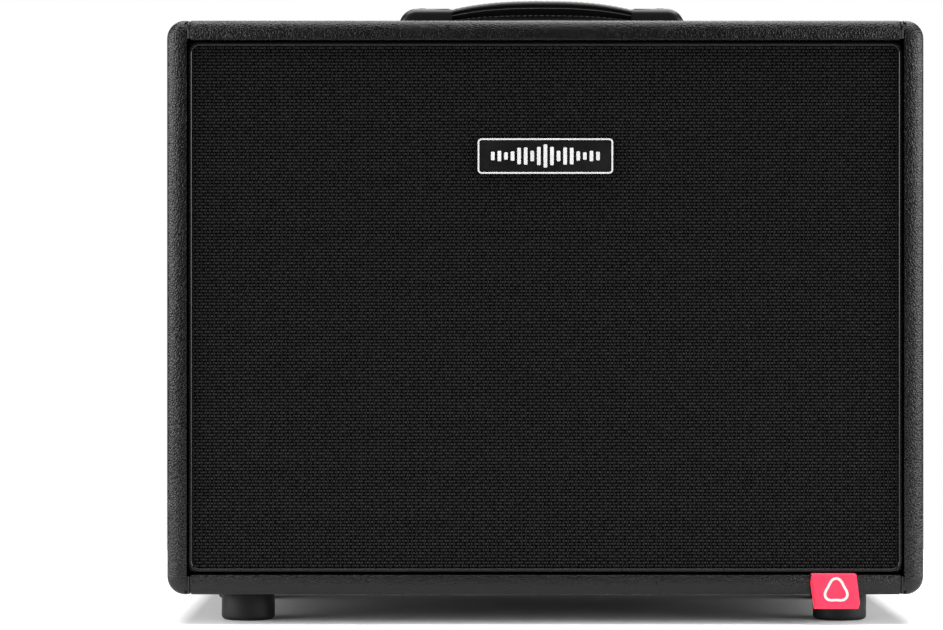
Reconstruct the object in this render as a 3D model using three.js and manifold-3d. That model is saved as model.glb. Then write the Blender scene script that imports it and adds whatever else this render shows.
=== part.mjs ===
// A closed-back guitar amplifier with one 12-inch speaker, a small horn and a power module in its back.
// Millimetres, +Z up. The front faces -Y. The origin is on the floor, under the middle of the cabinet.

import * as THREE from 'three';
import { mergeVertices } from 'three/addons/utils/BufferGeometryUtils.js';
import Module from 'manifold-3d';

const wasm = await Module();
wasm.setup();

// ---------------------------------------------------------------- driving dimensions

const WIDTH = 530; // cabinet, over the covering
const HEIGHT = 402; // cabinet without its feet
const DEPTH = 275;
const WALL = 14; // board and covering together
const CORNER = 12.5; // radius of the cabinet's four long corners
const SKIN = 1.3; // textured vinyl and its glue
const GAP = 0.3; // between two pieces that touch
const EDGE = 4; // roundover of the outer front and back edges
const FOOT_HEIGHT = 21;
const FOOT_RADIUS = 19;
const FOOT_INSET = 50; // foot centre from the cabinet's front and back
const FOOT_SIDE = { front: 54, back: 38.5 }; // and from its side

const SEAM_X = 249.6; // the bead between the side covering and the top covering
const SEAM_WIDTH = 2.6;
const BEAD_WIDTH = 1.8;

const FRONT_LIP = 20; // how far the covering turns in behind the front edge
const BACK_LIP = 22;
const BAFFLE = { front: -117, thick: 18 };
const BACK_PANEL = { front: 108, thick: 12 };
const CLEAT = 18;

const WOOFER_X = -72; // the 12-inch speaker's axis
const HORN = { x: 165, z: 300 };
const AMP = { width: 400, height: 116, thick: 2, z: 326, split: -64 };

const GRIP_HALF = 32; // the stiff middle of the handle's strap
const STRAP = { width: 30, thick: 9, endThick: 7.4, endHeight: 17.2, rise: 7.9, archHalf: 72 };

// ---------------------------------------------------------------- places worked out from them

const HALF_WIDTH = WIDTH / 2;
const FRONT = -DEPTH / 2;
const BACK = DEPTH / 2;
const BOTTOM = FOOT_HEIGHT;
const TOP = BOTTOM + HEIGHT;
const MIDDLE = (TOP + BOTTOM) / 2;
const SIDE_INNER = SEAM_X + SEAM_WIDTH / 2; // inner face of the side covering
const OPENING_HALF_HEIGHT = HEIGHT / 2 - WALL;
const BOARD_INSET = SKIN + GAP; // from the cabinet's surface to its boards
const BOARD_X = SIDE_INNER + BOARD_INSET; // inner face of the side boards
const PANEL_Y = BACK_PANEL.front + BACK_PANEL.thick + GAP; // inner face of the amplifier's panel

// ---------------------------------------------------------------- materials

function material(color, roughness, metalness = 0) {
  return new THREE.MeshStandardMaterial({ color, roughness, metalness });
}

const MATERIAL = {
  plywood: material(0xb08d5b, 0.8),
  vinyl: material(0x1d1d1e, 0.55),
  bead: material(0x161617, 0.4),
  frame: material(0x2a2622, 0.85),
  cloth: material(0x17171a, 0.9),
  piping: material(0x18181a, 0.35),
  badge: material(0x141414, 0.4),
  tag: material(0xf03352, 0.6),
  rubber: material(0x202022, 0.7),
  handle: material(0x1a1a1b, 0.5),
  steel: material(0x2b2c2e, 0.45, 0.6),
  zinc: material(0xb9bbbd, 0.35, 1),
  ferrite: material(0x3a3a3c, 0.6),
  paper: material(0x262422, 0.9),
  textile: material(0xb58a4a, 0.9),
  copper: material(0xb06a3a, 0.4, 0.9),
  plastic: material(0x131314, 0.5),
  board: material(0x14532d, 0.6),
  aluminium: material(0xa9abae, 0.4, 1),
  lead: material(0x8e1b1b, 0.5),
};

// ---------------------------------------------------------------- solids

// A closed geometry as a manifold-3d solid, turned the right way out.
function solid(geometry) {
  const bare = (geometry.index ? geometry.toNonIndexed() : geometry.clone()).deleteAttribute('normal');
  bare.deleteAttribute('uv');
  const merged = mergeVertices(bare, 1e-4);
  const source = merged.index.array;
  const faces = [];
  for (let i = 0; i < source.length; i += 3) {
    const [a, b, c] = source.slice(i, i + 3);
    if (a !== b && b !== c && c !== a) faces.push(a, b, c);
  }
  const vertProperties = merged.attributes.position.array;
  const make = (list) =>
    new wasm.Manifold(new wasm.Mesh({ numProp: 3, vertProperties, triVerts: new Uint32Array(list) }));
  const made = make(faces);
  return made.volume() >= 0 ? made : make(faces.reverse());
}

function geometryOf(made) {
  const mesh = made.getMesh();
  const geometry = new THREE.BufferGeometry();
  geometry.setAttribute('position', new THREE.BufferAttribute(new Float32Array(mesh.vertProperties), 3));
  geometry.setIndex(new THREE.BufferAttribute(new Uint32Array(mesh.triVerts), 1));
  return geometry;
}

// The first geometry with the others joined to it.
function join(first, ...others) {
  return geometryOf(others.reduce((whole, g) => whole.add(solid(g)), solid(first)));
}

// The first geometry with the others cut out of it.
function cut(first, ...tools) {
  return geometryOf(tools.reduce((whole, g) => whole.subtract(solid(g)), solid(first)));
}

// The space that two geometries share.
function common(first, second) {
  return geometryOf(solid(first).intersect(solid(second)));
}

function turnedOut(geometry) {
  return geometryOf(solid(geometry));
}

// A box between two corners.
function box([x0, x1], [y0, y1], [z0, z1]) {
  const geometry = new THREE.BoxGeometry(x1 - x0, y1 - y0, z1 - z0);
  return geometry.translate((x0 + x1) / 2, (y0 + y1) / 2, (z0 + z1) / 2);
}

// An outline of [radius, y] points turned about the Y axis.
function turned(points, segments = 24) {
  const profile = points.map(([r, y]) => new THREE.Vector2(r, y));
  return turnedOut(new THREE.LatheGeometry(profile, segments));
}

// A tube or ring about the Y axis.
function ring(inner, outer, [y0, y1], segments = 24) {
  const wall = [[inner, y0], [outer, y0], [outer, y1], [inner, y1], [inner, y0]];
  return turned(wall, segments);
}

function disc(radius, [y0, y1], segments = 16) {
  return turned([[0, y0], [radius, y0], [radius, y1], [0, y1]], segments);
}

// The same outline as plain points, without the doubles that arcs leave where they meet lines.
function cleaned(shape, curveSegments) {
  const { shape: outline, holes } = shape.extractPoints(curveSegments);
  const single = (points) => points.filter((p, i) => p.distanceTo(points[(i + 1) % points.length]) > 1e-6);
  const made = new THREE.Shape(single(outline));
  made.holes = holes.map((points) => new THREE.Path(single(points)));
  return made;
}

// A shape drawn in X and Z, given thickness along Y. A bevel rounds its front and back edges.
function plate(shape, [y0, y1], { bevel = 0, bevelSegments = 1, curveSegments = 3 } = {}) {
  const geometry = new THREE.ExtrudeGeometry(cleaned(shape, curveSegments), {
    depth: y1 - y0 - 2 * bevel,
    bevelEnabled: bevel > 0,
    bevelThickness: bevel,
    bevelSize: bevel,
    bevelOffset: -bevel,
    bevelSegments,
  });
  return turnedOut(geometry.rotateX(Math.PI / 2).translate(0, y1 - bevel, 0));
}

// A shape drawn in Y and Z, given length along X.
function bar(shape, [x0, x1], curveSegments = 3) {
  const outline = cleaned(shape, curveSegments);
  const geometry = new THREE.ExtrudeGeometry(outline, { depth: x1 - x0, bevelEnabled: false });
  const axes = [new THREE.Vector3(0, 1, 0), new THREE.Vector3(0, 0, 1), new THREE.Vector3(1, 0, 0)];
  return turnedOut(geometry.applyMatrix4(new THREE.Matrix4().makeBasis(...axes)).translate(x0, 0, 0));
}

// A rectangle with corner radii in the order lower left, lower right, upper right, upper left.
function roundedRectangle([a0, a1], [b0, b1], radii) {
  const [ll, lr, ur, ul] = Array.isArray(radii) ? radii : [radii, radii, radii, radii];
  const shape = new THREE.Shape();
  shape.moveTo(a0 + ll, b0);
  shape.lineTo(a1 - lr, b0);
  if (lr) shape.absarc(a1 - lr, b0 + lr, lr, -Math.PI / 2, 0);
  shape.lineTo(a1, b1 - ur);
  if (ur) shape.absarc(a1 - ur, b1 - ur, ur, 0, Math.PI / 2);
  shape.lineTo(a0 + ul, b1);
  if (ul) shape.absarc(a0 + ul, b1 - ul, ul, Math.PI / 2, Math.PI);
  shape.lineTo(a0, b0 + ll);
  if (ll) shape.absarc(a0 + ll, b0 + ll, ll, Math.PI, 1.5 * Math.PI);
  return shape;
}

function frameShape(outer, outerRadius, inner, innerRadius) {
  const shape = roundedRectangle(...outer, outerRadius);
  shape.holes.push(roundedRectangle(...inner, innerRadius));
  return shape;
}

function rectangle(halfWidth, halfHeight, middle = MIDDLE) {
  return [[-halfWidth, halfWidth], [middle - halfHeight, middle + halfHeight]];
}

function polygon(points) {
  return new THREE.Shape(points.map(([a, b]) => new THREE.Vector2(a, b)));
}

function piece(name, geometry, look, [x, y, z] = [0, 0, 0]) {
  const mesh = new THREE.Mesh(geometry, look);
  mesh.name = name;
  mesh.position.set(x, y, z);
  return mesh;
}

function group(position, ...children) {
  const made = new THREE.Group();
  made.position.set(...position);
  made.add(...children);
  return made;
}

// The same piece on the other side: left for right, or bottom for top.
function mirrored(mesh, name, axis) {
  const copy = mesh.clone();
  copy.name = name;
  copy.scale[axis] = -1;
  if (axis === 'z') copy.position.z = TOP + BOTTOM;
  return copy;
}

// ---------------------------------------------------------------- cabinet

// The cabinet's outer form, drawn in by an inset, from innerX out to the right-hand side.
function sideForm(inset, innerX, bevelSegments) {
  const outline = roundedRectangle(...rectangle(HALF_WIDTH - inset, HEIGHT / 2 - inset), CORNER - inset);
  const along = [FRONT + inset, BACK - inset];
  const whole = plate(outline, along, { bevel: EDGE - inset, bevelSegments });
  return common(whole, box([innerX, WIDTH], [FRONT - 1, BACK + 1], [0, 2 * TOP]));
}

function sideCovering() {
  const inner = [SIDE_INNER - 1, SIDE_INNER + SKIN + 0.1];
  const inside = [FRONT + SKIN, BACK - SKIN];
  const open = [MIDDLE - OPENING_HALF_HEIGHT, MIDDLE + OPENING_HALF_HEIGHT];
  const window = box(inner, [FRONT + FRONT_LIP, BACK - BACK_LIP], [open[0] - 1, open[1] + 1]);
  const lowerJoint = box(inner, inside, [BOTTOM + SKIN, open[0]]);
  const upperJoint = box(inner, inside, [open[1], TOP - SKIN]);
  const core = sideForm(SKIN, SIDE_INNER + SKIN, 1);
  return cut(sideForm(0, SIDE_INNER, 2), core, window, lowerJoint, upperJoint);
}

function topCovering() {
  const across = [-SEAM_X + SEAM_WIDTH / 2, SEAM_X - SEAM_WIDTH / 2];
  const innerEdge = 2.5; // roundover of the edge that faces the opening
  const radii = [innerEdge, innerEdge, EDGE, EDGE];
  const whole = roundedRectangle([FRONT, BACK], [TOP - WALL, TOP], radii);
  const coreRadii = radii.map((radius) => radius - SKIN);
  const core = roundedRectangle([FRONT + SKIN, BACK - SKIN], [TOP - WALL + SKIN, TOP - SKIN], coreRadii);
  const beyond = [across[0] - 1, across[1] + 1];
  const window = box(beyond, [FRONT + FRONT_LIP, BACK - BACK_LIP], [TOP - WALL - 1, TOP - WALL + SKIN + 0.1]);
  return cut(bar(whole, across), bar(core, beyond), window);
}

function topBoard() {
  const across = [-BOARD_X + GAP, BOARD_X - GAP];
  const section = roundedRectangle(
    [FRONT + BOARD_INSET, BACK - BOARD_INSET],
    [TOP - WALL + BOARD_INSET, TOP - BOARD_INSET],
    [1, 1, EDGE - BOARD_INSET, EDGE - BOARD_INSET],
  );
  return bar(section, across, 2);
}

// The bead lies in the groove over the joint: up the front edge, along the top and down the back edge.
function seamBead() {
  const proud = 0.3;
  const across = [SEAM_X - BEAD_WIDTH / 2, SEAM_X + BEAD_WIDTH / 2];
  const ends = TOP - WALL + 1;
  const outer = roundedRectangle([FRONT - proud, BACK + proud], [ends, TOP + proud], [0, 0, EDGE, EDGE]);
  const inner = roundedRectangle([FRONT + SKIN, BACK - SKIN], [ends - 5, TOP - SKIN], [0, 0, 2.7, 2.7]);
  return cut(bar(outer, across), bar(inner, [across[0] - 1, across[1] + 1]));
}

function cleatRing([y0, y1]) {
  const halfWidth = BOARD_X - 2 * GAP;
  const halfHeight = HEIGHT / 2 - WALL + BOARD_INSET - GAP;
  const outer = rectangle(halfWidth, halfHeight);
  const inner = rectangle(halfWidth - CLEAT, halfHeight - CLEAT);
  return plate(frameShape(outer, 0, inner, 0), [y0, y1]);
}

function cabinet() {
  const right = piece('right_covering', sideCovering(), MATERIAL.vinyl);
  const rightBoard = piece('right_board', sideForm(BOARD_INSET, BOARD_X, 1), MATERIAL.plywood);
  const top = piece('top_covering', topCovering(), MATERIAL.vinyl);
  const upper = piece('top_board', topBoard(), MATERIAL.plywood);
  const bead = piece('seam_bead_top_right', seamBead(), MATERIAL.bead);
  const lowBead = mirrored(bead, 'seam_bead_bottom_right', 'z');
  const cleatsBehindBaffle = [BAFFLE.front + BAFFLE.thick + GAP, BAFFLE.front + BAFFLE.thick + GAP + CLEAT];
  const cleatsBeforeBack = [BACK_PANEL.front - GAP - CLEAT, BACK_PANEL.front - GAP];
  return group(
    [0, 0, 0],
    right,
    mirrored(right, 'left_covering', 'x'),
    rightBoard,
    mirrored(rightBoard, 'left_board', 'x'),
    top,
    mirrored(top, 'bottom_covering', 'z'),
    upper,
    mirrored(upper, 'bottom_board', 'z'),
    bead,
    mirrored(bead, 'seam_bead_top_left', 'x'),
    lowBead,
    mirrored(lowBead, 'seam_bead_bottom_left', 'x'),
    piece('baffle_board', baffleBoard(), MATERIAL.plywood),
    piece('baffle_cleats', cleatRing(cleatsBehindBaffle), MATERIAL.plywood),
    piece('back_panel', backPanel(), MATERIAL.vinyl),
    piece('back_cleats', cleatRing(cleatsBeforeBack), MATERIAL.plywood),
  );
}

function circle(x, z, radius) {
  const path = new THREE.Path();
  path.absarc(x, z, radius, 0, 2 * Math.PI);
  return path;
}

function baffleBoard() {
  const shape = roundedRectangle(...rectangle(SIDE_INNER - GAP, OPENING_HALF_HEIGHT - GAP), 0);
  shape.holes.push(circle(WOOFER_X, MIDDLE, 142), circle(HORN.x, HORN.z, 55));
  return plate(shape, [BAFFLE.front, BAFFLE.front + BAFFLE.thick], { curveSegments: 24 });
}

function backPanel() {
  const outer = rectangle(SIDE_INNER - 2 * GAP, OPENING_HALF_HEIGHT - 2 * GAP);
  const opening = rectangle(AMP.width / 2 - 10, AMP.height / 2 - 8, AMP.z);
  return plate(frameShape(outer, 0, opening, 0), [BACK_PANEL.front, BACK_PANEL.front + BACK_PANEL.thick]);
}

// ---------------------------------------------------------------- grille

const PIPING = { halfWidth: 250.2, halfHeight: 185.8, width: 3, front: -134.2, thick: 3 };
const CLOTH = { front: -132.6, thick: 1.2 };

function grillePiping() {
  const outer = rectangle(PIPING.halfWidth, PIPING.halfHeight, MIDDLE + 0.3);
  const inner = rectangle(PIPING.halfWidth - PIPING.width, PIPING.halfHeight - PIPING.width, MIDDLE + 0.3);
  const along = [PIPING.front, PIPING.front + PIPING.thick];
  return plate(frameShape(outer, 5.5, inner, 2.5), along, { bevel: 0.9 });
}

function grilleCloth() {
  const inset = PIPING.width + GAP;
  const shape = roundedRectangle(
    ...rectangle(PIPING.halfWidth - inset, PIPING.halfHeight - inset, MIDDLE + 0.3),
    2.2,
  );
  return plate(shape, [CLOTH.front, CLOTH.front + CLOTH.thick]);
}

function grilleFrame() {
  const railWidth = 22;
  const front = CLOTH.front + CLOTH.thick + GAP;
  const outer = rectangle(PIPING.halfWidth - GAP, PIPING.halfHeight - GAP, MIDDLE + 0.3);
  const inner = rectangle(
    PIPING.halfWidth - GAP - railWidth,
    PIPING.halfHeight - GAP - railWidth,
    MIDDLE + 0.3,
  );
  return plate(frameShape(outer, 5, inner, 3), [front, front + 12]);
}

// A flat badge with a thin raised border.
function badgePlate() {
  const half = [47.75, 12.75];
  const middle = 328;
  const rim = 1.3;
  const rimHeight = 0.4;
  const back = CLOTH.front - GAP;
  const base = plate(roundedRectangle(...rectangle(...half, middle), 3), [back - 2, back]);
  const border = frameShape(
    rectangle(half[0] - 0.4, half[1] - 0.4, middle),
    2.6,
    rectangle(half[0] - 0.4 - rim, half[1] - 0.4 - rim, middle),
    1.4,
  );
  return join(base, plate(border, [back - 2 - rimHeight, back - 1.9]));
}

// A folded ribbon held in the gap under the grille. It hangs over the bottom edge and leans a little.
function fabricTag() {
  const width = 31.3;
  const lean = 0.128; // sideways shift for each millimetre down
  const foldRadius = 1;
  const gapTop = BOTTOM + WALL + 1;
  const [front, back, end] = [FRONT - 2.9, FRONT - 0.8, FRONT + 9];
  const low = 11.5;
  const shape = polygon([
    [end, gapTop],
    [front + 0.8, gapTop],
    [front, gapTop - 0.8],
    [front, low + foldRadius],
    [front + foldRadius, low],
    [back, low + foldRadius],
    [back, gapTop - 0.7],
    [end, gapTop - 0.7],
  ]);
  const shear = new THREE.Matrix4().set(1, 0, -lean, lean * gapTop, 0, 1, 0, 0, 0, 0, 1, 0, 0, 0, 0, 1);
  return turnedOut(bar(shape, [-width / 2, width / 2]).applyMatrix4(shear));
}

function grille() {
  return group(
    [0, 0, 0],
    piece('grille_frame', grilleFrame(), MATERIAL.frame),
    piece('grille_cloth', grilleCloth(), MATERIAL.cloth),
    piece('grille_piping', grillePiping(), MATERIAL.piping),
    piece('badge_plate', badgePlate(), MATERIAL.badge),
    piece('fabric_tag', fabricTag(), MATERIAL.tag, [201.3, 0, 0]),
  );
}

// ---------------------------------------------------------------- feet

// A rubber foot with a deep screw hole, turned about its own axis and stood on the floor.
function footGeometry() {
  const [top, edge, recess, depth] = [FOOT_HEIGHT - GAP, 3, 6.5, 12];
  const profile = [[0, top], [FOOT_RADIUS, top], [FOOT_RADIUS, edge]];
  for (const degrees of [30, 60, 90]) {
    const angle = THREE.MathUtils.degToRad(degrees);
    profile.push([FOOT_RADIUS - edge * (1 - Math.cos(angle)), edge * (1 - Math.sin(angle))]);
  }
  profile.push([recess, 0], [recess, depth], [0, depth]);
  return turned(profile, 20).rotateX(Math.PI / 2);
}

function feet() {
  const geometry = footGeometry();
  const made = new THREE.Group();
  for (const [side, sideSign] of [['left', -1], ['right', 1]]) {
    for (const [end, endSign] of [['front', -1], ['back', 1]]) {
      const place = [sideSign * (HALF_WIDTH - FOOT_SIDE[end]), endSign * (BACK - FOOT_INSET), 0];
      made.add(piece(`foot_${end}_${side}`, geometry, MATERIAL.rubber, place));
    }
  }
  return made;
}

// ---------------------------------------------------------------- handle

// Height of the strap's upper face above the cabinet: an arch between two level ends.
function strapTop(x) {
  const across = Math.min(Math.abs(x) / STRAP.archHalf, 1);
  return STRAP.endHeight + STRAP.rise * (1 - across ** 2.55);
}

// The strap between two places along its length. It is thinner where it runs into a cap.
function strapPart([x0, x1], halfWidth, steps = 8) {
  const upper = [];
  const lower = [];
  for (let i = 0; i <= steps; i++) {
    const x = x0 + ((x1 - x0) * i) / steps;
    const z = strapTop(x);
    const thick = THREE.MathUtils.lerp(STRAP.endThick, STRAP.thick, (z - STRAP.endHeight) / STRAP.rise);
    upper.push([x, z]);
    lower.unshift([x, z - thick]);
  }
  return plate(polygon([...upper, ...lower].reverse()), [-halfWidth, halfWidth], { bevel: 1.5 });
}

const CAP = { from: 66, to: 105, height: 19.4, halfWidth: 18 };

// A hollow end cap: its outer end curves down to the cabinet, and its inner end takes the strap.
function handleCap() {
  const outline = new THREE.Shape();
  outline.moveTo(CAP.from, GAP);
  outline.lineTo(CAP.to, GAP);
  outline.bezierCurveTo(CAP.to - 1, CAP.height * 0.6, CAP.to - 5, CAP.height, CAP.to - 14, CAP.height);
  outline.lineTo(CAP.from, CAP.height);
  const body = plate(outline, [-CAP.halfWidth, CAP.halfWidth], { bevel: 2, curveSegments: 6 });
  const [mouth, end, low, high] = [CAP.from - 5, CAP.to - 9, 9.2, 17.8];
  const pocket = polygon([[mouth, low], [end, low], [end, high], [STRAP.archHalf, high], [mouth, high + 2.8]]);
  return cut(body, plate(pocket, [-15.4, 15.4]));
}

function handle() {
  const neckEnd = 90;
  const neck = strapPart([GRIP_HALF + GAP, neckEnd], STRAP.width / 2 - 1, 10);
  const rightNeck = piece('handle_neck_right', neck, MATERIAL.handle);
  const rightCap = piece('handle_cap_right', handleCap(), MATERIAL.plastic);
  return group(
    [0, 0, TOP],
    piece('handle_grip', strapPart([-GRIP_HALF, GRIP_HALF], STRAP.width / 2), MATERIAL.handle),
    rightNeck,
    mirrored(rightNeck, 'handle_neck_left', 'x'),
    rightCap,
    mirrored(rightCap, 'handle_cap_left', 'x'),
  );
}

// ---------------------------------------------------------------- 12-inch speaker
// Its own frame: Y = 0 is the back face of the baffle, and the magnet is towards +Y.

const FLANGE = { inner: 134, outer: 156, front: 2.6, back: 5.6 };
const MOTOR_Y = 77; // front of the basket's floor

// A pressed basket: flange, eight arms and a floor that carries the motor.
function basket() {
  const shell = turned([
    [36, MOTOR_Y],
    [76, MOTOR_Y],
    [FLANGE.inner + 3, FLANGE.back],
    [FLANGE.inner, FLANGE.back],
    [FLANGE.inner, FLANGE.front],
    [FLANGE.outer, FLANGE.front],
    [FLANGE.outer, FLANGE.back],
    [FLANGE.inner + 6, FLANGE.back],
    [79, MOTOR_Y + 3],
    [36, MOTOR_Y + 3],
    [36, MOTOR_Y],
  ], 28);
  const windows = [];
  for (let i = 0; i < 8; i++) {
    const window = box([84, 150], [12, 48], [-24, 24]);
    windows.push(window.rotateY(((i + 0.5) * Math.PI) / 4));
  }
  return cut(shell, ...windows);
}

function surround() {
  const [inner, outer] = [118.5, FLANGE.inner - 0.3];
  const middle = (inner + outer) / 2;
  const roll = (outer - inner) / 2 - 1.2;
  const lip = [1, 2.2];
  const front = [];
  const back = [];
  for (let i = 0; i <= 4; i++) {
    const angle = (i * Math.PI) / 4;
    front.push([middle - (roll + 1.2) * Math.cos(angle), lip[0] - (roll + 1.2) * Math.sin(angle)]);
    back.unshift([middle - roll * Math.cos(angle), lip[1] - roll * Math.sin(angle)]);
  }
  const edge = [[FLANGE.inner + 7, lip[0]], [FLANGE.inner + 7, lip[1]]];
  return turned([...front, ...edge, ...back, [inner, lip[1]], front[0]], 28);
}

function cone() {
  const thick = 1.4;
  const front = [[33.6, 42], [60, 24], [90, 9.5], [118.2, 1]];
  const back = front.map(([r, y]) => [r, y + thick]).reverse();
  return turned([...front, ...back, front[0]], 28);
}

function dustCap() {
  const radius = 44;
  const dome = [[0, 13.5], [16, 15], [30, 20], [radius, 31.6]];
  const inside = dome.map(([r, y]) => [r * 0.98, y + 1.2]).reverse();
  return turned([...dome, ...inside], 24);
}

// A flat corrugated disc that centres the voice coil.
function spider() {
  const [inner, outer, folds, height, thick] = [33.6, 92.6, 3, 2.4, 1.1];
  const front = [];
  for (let i = 0; i <= 2 * folds; i++) {
    front.push([inner + ((outer - inner) * i) / (2 * folds), 52 + (i % 2 ? height : 0)]);
  }
  const back = front.map(([r, y]) => [r, y + thick]).reverse();
  return turned([...front, ...back, front[0]]);
}

function backPlate() {
  const face = MOTOR_Y + 3 + 4 * GAP + 30; // behind the top plate and the magnet
  const pole = [30.4, MOTOR_Y + 4];
  const vent = 8;
  return turned([
    [vent, pole[1]],
    [pole[0], pole[1]],
    [pole[0], face],
    [60, face],
    [60, face + 8],
    [vent, face + 8],
    [vent, pole[1]],
  ]);
}

function woofer() {
  const topPlate = [MOTOR_Y + 3 + GAP, MOTOR_Y + 11 + GAP];
  const magnet = [topPlate[1] + GAP, topPlate[1] + GAP + 22];
  return group(
    [WOOFER_X, BAFFLE.front + BAFFLE.thick, MIDDLE],
    piece('woofer_gasket', ring(142, 155, [GAP, 2.3], 28), MATERIAL.rubber),
    piece('woofer_basket', basket(), MATERIAL.steel),
    piece('woofer_surround', surround(), MATERIAL.textile),
    piece('woofer_cone', cone(), MATERIAL.paper),
    piece('woofer_dust_cap', dustCap(), MATERIAL.paper),
    piece('woofer_voice_coil', ring(31.6, 33.2, [44, 90], 24), MATERIAL.copper),
    piece('woofer_spider', spider(), MATERIAL.textile),
    piece('woofer_top_plate', ring(34.4, 62, topPlate), MATERIAL.zinc),
    piece('woofer_magnet', ring(46, 76, magnet), MATERIAL.ferrite),
    piece('woofer_back_plate', backPlate(), MATERIAL.zinc),
  );
}

// ---------------------------------------------------------------- horn and its driver
// Its own frame: Y = 0 is the front face of the baffle.

function horn() {
  const flangeBack = -GAP;
  const flangeFront = flangeBack - 3.2;
  const half = 58;
  const flange = plate(roundedRectangle([-half, half], [-half, half], 8), [flangeFront, flangeBack]);
  const bell = turned([
    [0, flangeFront],
    [53, flangeFront],
    [50, 8],
    [34, 34],
    [20, 54],
    [17, 62],
    [30, 62],
    [30, 66],
    [0, 66],
  ], 24);
  const throat = turned([
    [0, flangeFront - 1],
    [48.5, flangeFront - 1],
    [45, 8],
    [29, 34],
    [16, 54],
    [12.7, 67],
    [0, 67],
  ], 24);
  return cut(join(flange, bell), throat);
}

function compressionDriver() {
  return turned([
    [0, 66.3],
    [28, 66.3],
    [28, 72],
    [44, 74],
    [44, 84],
    [48, 84],
    [48, 100],
    [38, 104],
    [0, 104],
  ], 24);
}

function highFrequencyUnit() {
  return group(
    [HORN.x, BAFFLE.front, HORN.z],
    piece('horn', horn(), MATERIAL.plastic),
    piece('compression_driver', compressionDriver(), MATERIAL.steel),
  );
}

// ---------------------------------------------------------------- power module
// Its own frame: the middle of the panel's inner face, with Y pointing out of the back of the cabinet.

const KNOB_X = { volume: 84, bass: 42, middle: 0, treble: -42 };
const KNOB_Z = 20;
const BUTTON = { x: 84, z: -24, radius: 3 };
const SWITCH = { x: 162, z: 27, half: [8.6, 12.4] };
const INLET = { x: 162, z: -22, half: [16, 12.4] };
const INPUT = { x: -150, z: 2 };
const LINK = { x: -100, z: -20 };
const FLANGE_Y = AMP.thick + GAP; // where a fitting's flange starts, outside the panel

function hole(x, z, radius) {
  return disc(radius, [-1, AMP.thick + 1], 12).translate(x, 0, z);
}

// The panel is two steel plates side by side. One carries the signal sockets, and the other the controls
// and the mains.
function panelPlate([x0, x1]) {
  const outer = roundedRectangle([x0, x1], [-AMP.height / 2, AMP.height / 2], 4);
  const through = [-1, AMP.thick + 1];
  const window = ({ x, z, half }, margin) => {
    const [w, h] = [half[0] - margin, half[1] - margin];
    return box([x - w, x + w], through, [z - h, z + h]);
  };
  const bushings = Object.values(KNOB_X).map((x) => hole(x, KNOB_Z, 4.9));
  return cut(
    plate(outer, [0, AMP.thick]),
    ...bushings,
    hole(BUTTON.x, BUTTON.z, BUTTON.radius + 0.5),
    hole(INPUT.x, INPUT.z, 12.8),
    box([INPUT.x - 4.6, INPUT.x + 4.6], through, [INPUT.z, INPUT.z + 15.3]),
    hole(LINK.x, LINK.z, 5.4),
    window(SWITCH, 0.8),
    window(INLET, 2),
  );
}

// A folded steel tray, open towards the panel.
function ampTray() {
  const [halfWidth, halfHeight, depth, sheet] = [186, 46, 68, 1.5];
  const outside = box([-halfWidth, halfWidth], [-depth, -GAP], [-halfHeight, halfHeight]);
  const w = halfWidth - sheet;
  const h = halfHeight - sheet;
  return cut(outside, box([-w, w], [sheet - depth, 1], [-h, h]));
}

// The board behind the panel, with its potentiometers and the push switch soldered to it.
function controlBoard() {
  const face = -12;
  const sheet = box([-62, 104], [face - 1.6, face], [-36, 40]);
  const pots = Object.values(KNOB_X).flatMap((x) => {
    const can = disc(8, [face - 0.1, -1.5], 16).translate(x, 0, KNOB_Z);
    const bushing = disc(4.5, [-1.6, 5.5], 16).translate(x, 0, KNOB_Z);
    return [can, bushing];
  });
  const bores = Object.values(KNOB_X).map((x) => disc(3.4, [-9, 6], 12).translate(x, 0, KNOB_Z));
  const [x, z] = [BUTTON.x, BUTTON.z];
  const pushSwitch = box([x - 5, x + 5], [face - 0.1, -5.6], [z - 5, z + 5]);
  return cut(join(sheet, ...pots, pushSwitch), ...bores);
}

// A ferrite core with a winding around its middle leg.
function transformer() {
  const [x, y, base] = [140, -46, -42 + GAP];
  const core = box([x - 20, x + 20], [y - 8, y + 8], [base + 2, base + 38]);
  const winding = box([x - 12, x + 12], [y - 14, y + 14], [base, base + 31]);
  return join(core, winding);
}

function heatSink() {
  const [x0, x1, back, front] = [-178, -86, -66, -34];
  const base = box([x0, x1], [back, back + 5], [-38, 34]);
  const fins = [];
  for (let x = x0; x <= x1 - 3; x += 11) fins.push(box([x, x + 3], [back + 4, front], [-38, 34]));
  return join(base, ...fins);
}

function knobGeometry() {
  const [foot, face, radius] = [6.4, 16.6, 9];
  const body = turned([
    [0, foot],
    [radius, foot],
    [radius, foot + 2.5],
    [radius - 1.2, foot + 3.2],
    [radius - 1.8, face - 1],
    [radius - 2.8, face],
    [0, face],
  ], 24);
  const shaft = disc(3, [-8, foot + 1], 12);
  const pointer = box([-0.6, 0.6], [face - 1, face + 1], [2.5, radius + 1]);
  return cut(join(body, shaft), pointer);
}

function pushButton() {
  const [inner, outer] = [-2.8, 7];
  const r = BUTTON.radius;
  return turned([[0, inner], [r, inner], [r, outer - 0.7], [r - 0.7, outer], [0, outer]], 16);
}

const ROCKER = { pivotY: 0.6, rest: THREE.MathUtils.degToRad(11), halfWidth: 6.2 };

function switchBezel() {
  const [w, h] = SWITCH.half;
  const flange = plate(roundedRectangle([-w, w], [-h, h], 1.2), [FLANGE_Y, FLANGE_Y + 1.8]);
  const body = box([-6.7 - 0.8, 6.7 + 0.8], [-18, FLANGE_Y + 1], [-10.6, 10.6]);
  const well = box([-6.7, 6.7], [-7, FLANGE_Y + 3], [-9.9, 9.9]);
  return cut(join(flange, body), well);
}

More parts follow.
